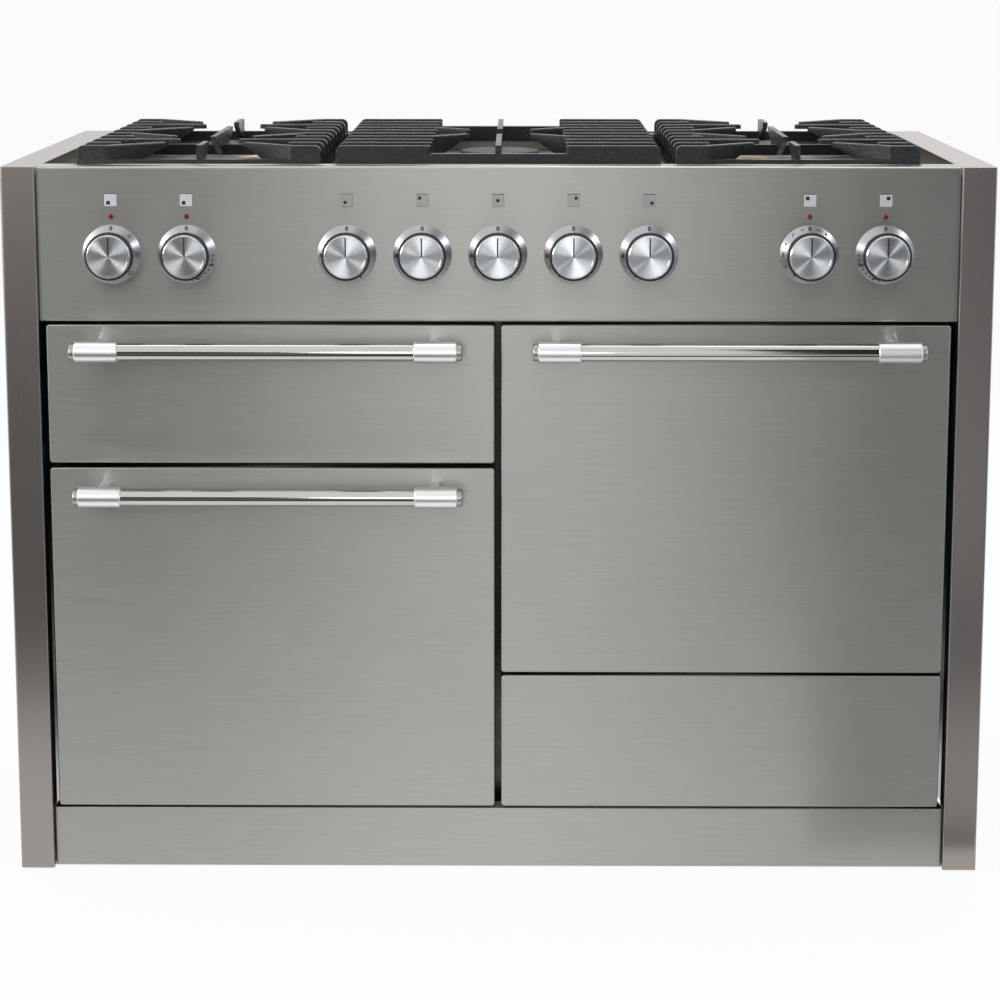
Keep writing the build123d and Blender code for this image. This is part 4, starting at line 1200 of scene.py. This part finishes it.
@dataclass(frozen=True)
class Card:
    """Card that only reflections show, to give brushed and polished metal its darker bands."""

    name: str
    grey: float

    def corners(self) -> List[Place]:
        """The card's four corners, in order."""
        raise NotImplementedError

    def build(self) -> None:
        """Set up the card."""
        data = bpy.data.meshes.new(self.name)
        data.from_pydata(self.corners(), [], [(0, 1, 2, 3)])
        card = bpy.data.objects.new(self.name, data)
        bpy.context.scene.collection.objects.link(card)
        sheet = NodeSheet.named(self.name)
        sheet.apply(Base_Color=even(self.grey), Roughness=1.0)
        data.materials.append(sheet.owner)
        card.visible_camera = False
        card.visible_diffuse = False
        card.visible_shadow = False


@dataclass(frozen=True)
class Flag(Card):
    """Upright card between two places on the floor."""

    foot: Tuple[Pair, Pair]
    levels: Pair

    def corners(self) -> List[Place]:
        """The card's four corners, in order."""
        (x0, y0), (x1, y1), low, high = *self.foot, *self.levels
        return [(x0, y0, low), (x1, y1, low), (x1, y1, high), (x0, y0, high)]


@dataclass(frozen=True)
class Mat(Card):
    """Card that lies on the floor."""

    across: Pair
    deep: Pair
    level: float = 0.01

    def corners(self) -> List[Place]:
        """The card's four corners, in order."""
        (x0, x1), (y0, y1) = self.across, self.deep
        return [(x0, y0, self.level), (x1, y0, self.level), (x1, y1, self.level), (x0, y1, self.level)]


@dataclass
class Studio:
    """Pale floor, white surround, soft boxes and the camera."""

    floor_half: float = 200.0
    floor_colour: Colour = (0.86, 0.86, 0.86)
    floor_glow: float = 0.92
    surround_colour: Colour = (1.0, 1.0, 1.0)
    surround_glow: float = 1.0
    world_fill: float = 0.60
    camera_place: Place = (0.0251, -3.266, 1.1535)
    camera_pitch: float = 9.19
    camera_yaw: float = 0.43
    camera_lens: float = 89.2
    camera_sensor: float = 36.0
    camera_shift: float = -0.15

    def floor(self) -> None:
        """Lay the floor, which glows a little to the camera and in reflections."""
        half = self.floor_half
        corners = [(-half, -half, 0), (half, -half, 0), (half, half, 0), (-half, half, 0)]
        data = bpy.data.meshes.new("studio_floor")
        data.from_pydata(corners, [], [(0, 1, 2, 3)])
        floor = bpy.data.objects.new("studio_floor", data)
        bpy.context.scene.collection.objects.link(floor)
        sheet = NodeSheet.named("studio_floor")
        diffuse = sheet.add("ShaderNodeBsdfDiffuse", {"Color": self.floor_colour})
        glow = sheet.add("ShaderNodeEmission", {})
        seen = self.seen(sheet, self.floor_glow, 0.0)
        both = sheet.add("ShaderNodeMixShader", {0: seen, 1: diffuse.outputs[0], 2: glow.outputs[0]})
        sheet.fill(sheet.tree.nodes["Material Output"].inputs["Surface"], both.outputs[0])
        data.materials.append(sheet.owner)

    @staticmethod
    def seen(sheet: NodeSheet, shown: float, hidden: float) -> Socket:
        """Strength for rays that show the background and for all others.

        Args:
            sheet: Nodes to add to.
            shown: Strength for camera, mirror and glass rays.
            hidden: Strength for the rest.

        Returns:
            The strength.
        """
        path = sheet.add("ShaderNodeLightPath", {})
        first = sheet.combine("MAXIMUM", path.outputs["Is Camera Ray"], path.outputs["Is Glossy Ray"])
        every = sheet.combine("MAXIMUM", first, path.outputs["Is Transmission Ray"])
        return sheet.span(every, hidden, shown, FULL_RANGE)

    def surround(self) -> None:
        """White all round to the camera and in reflections, and a soft fill for the rest."""
        world = bpy.data.worlds.new("studio_surround")
        bpy.context.scene.world = world
        sheet = NodeSheet(world)
        background = sheet.tree.nodes["Background"]
        sheet.fill(background.inputs["Color"], self.surround_colour)
        strength = self.seen(sheet, self.surround_glow, self.world_fill)
        sheet.fill(background.inputs["Strength"], strength)

    def lamps(self) -> None:
        """Hang the soft boxes and set up the cards."""
        for light in (
            AreaLamp("key_box", (-2.9, -1.2, 1.35), (0.0, -0.1, 0.9), 1.8, 0.9, 34.0, (0.96, 0.98, 1.0)),
            AreaLamp("left_box", (-1.9, -2.8, 1.25), (-0.1, -0.3, 0.8), 0.5, 0.6, 18.0, (1.0, 0.95, 0.88)),
            AreaLamp("right_box", (2.0, -2.6, 1.72), (0.1, -0.3, 0.8), 0.24, 0.3, 20.0, (0.94, 0.97, 1.0)),
            AreaLamp("centre_box", (-0.15, -4.4, 1.1), (0.0, -0.2, 0.5), 0.8, 1.0, 10.0),
            AreaLamp("top_box", (0.0, 0.6, 3.2), (0.0, 0.0, 0.8), 2.4, 1.4, 18.0),
            AreaLamp("rear_fill", (0.8, 2.6, 3.6), (0.0, 0.1, 0.5), 1.6, 1.4, 30.0),
            Flag("right_flag", 0.02, foot=((0.78, -4.6), (1.45, -4.36)), levels=(0.0, 6.0)),
            Flag("far_right_flag", 0.05, foot=((1.45, -4.36), (4.5, -3.4)), levels=(0.0, 6.0)),
            Flag("left_flag", 0.08, foot=((-0.50, -4.6), (-4.5, -3.4)), levels=(0.0, 1.60)),
            Mat("floor_strip", 0.02, across=(-4.0, 4.0), deep=(-1.5, -0.97)),
            Mat("floor_mat", 0.10, across=(-4.0, 0.05), deep=(-5.0, -1.5)),
            Mat("middle_mat", 0.85, across=(0.05, 0.55), deep=(-5.0, -1.5)),
            Mat("right_mat", 0.38, across=(0.55, 4.0), deep=(-5.0, -1.5)),
            Mat("near_right_mat", 0.62, across=(0.45, 4.0), deep=(-0.97, -0.40)),
            Mat("plinth_mat", 0.30, across=(0.40, 4.0), deep=(-0.40, -0.335)),
        ):
            light.build()
            LOG.info("set up %s", light.name)

    def camera(self) -> None:
        """Set the camera at the photograph's viewing angle."""
        data = bpy.data.cameras.new("studio_camera")
        data.sensor_width = self.camera_sensor
        data.lens = self.camera_lens
        data.shift_y = self.camera_shift
        camera = bpy.data.objects.new("studio_camera", data)
        bpy.context.scene.collection.objects.link(camera)
        camera.location = self.camera_place
        camera.rotation_euler = (math.radians(90.0 - self.camera_pitch), 0.0, math.radians(self.camera_yaw))
        bpy.context.scene.camera = camera

    def build(self) -> None:
        """Build the whole set."""
        self.floor()
        self.surround()
        self.lamps()
        self.camera()
        bpy.context.scene.view_settings.view_transform = "Standard"


def main() -> None:
    """Dress the cooker and build the set, in order."""
    logging.basicConfig(level=logging.INFO, format="%(name)s: %(message)s")
    finishes = Finishes()
    casing = Casing(finishes)
    panel = ControlPanel(finishes)
    for group in (casing, panel, Doors(finishes), Hob(finishes), Ovens(finishes)):
        group.dress()
    casing.build()
    panel.build()
    Studio().build()


if __name__ == "__main__":
    main()
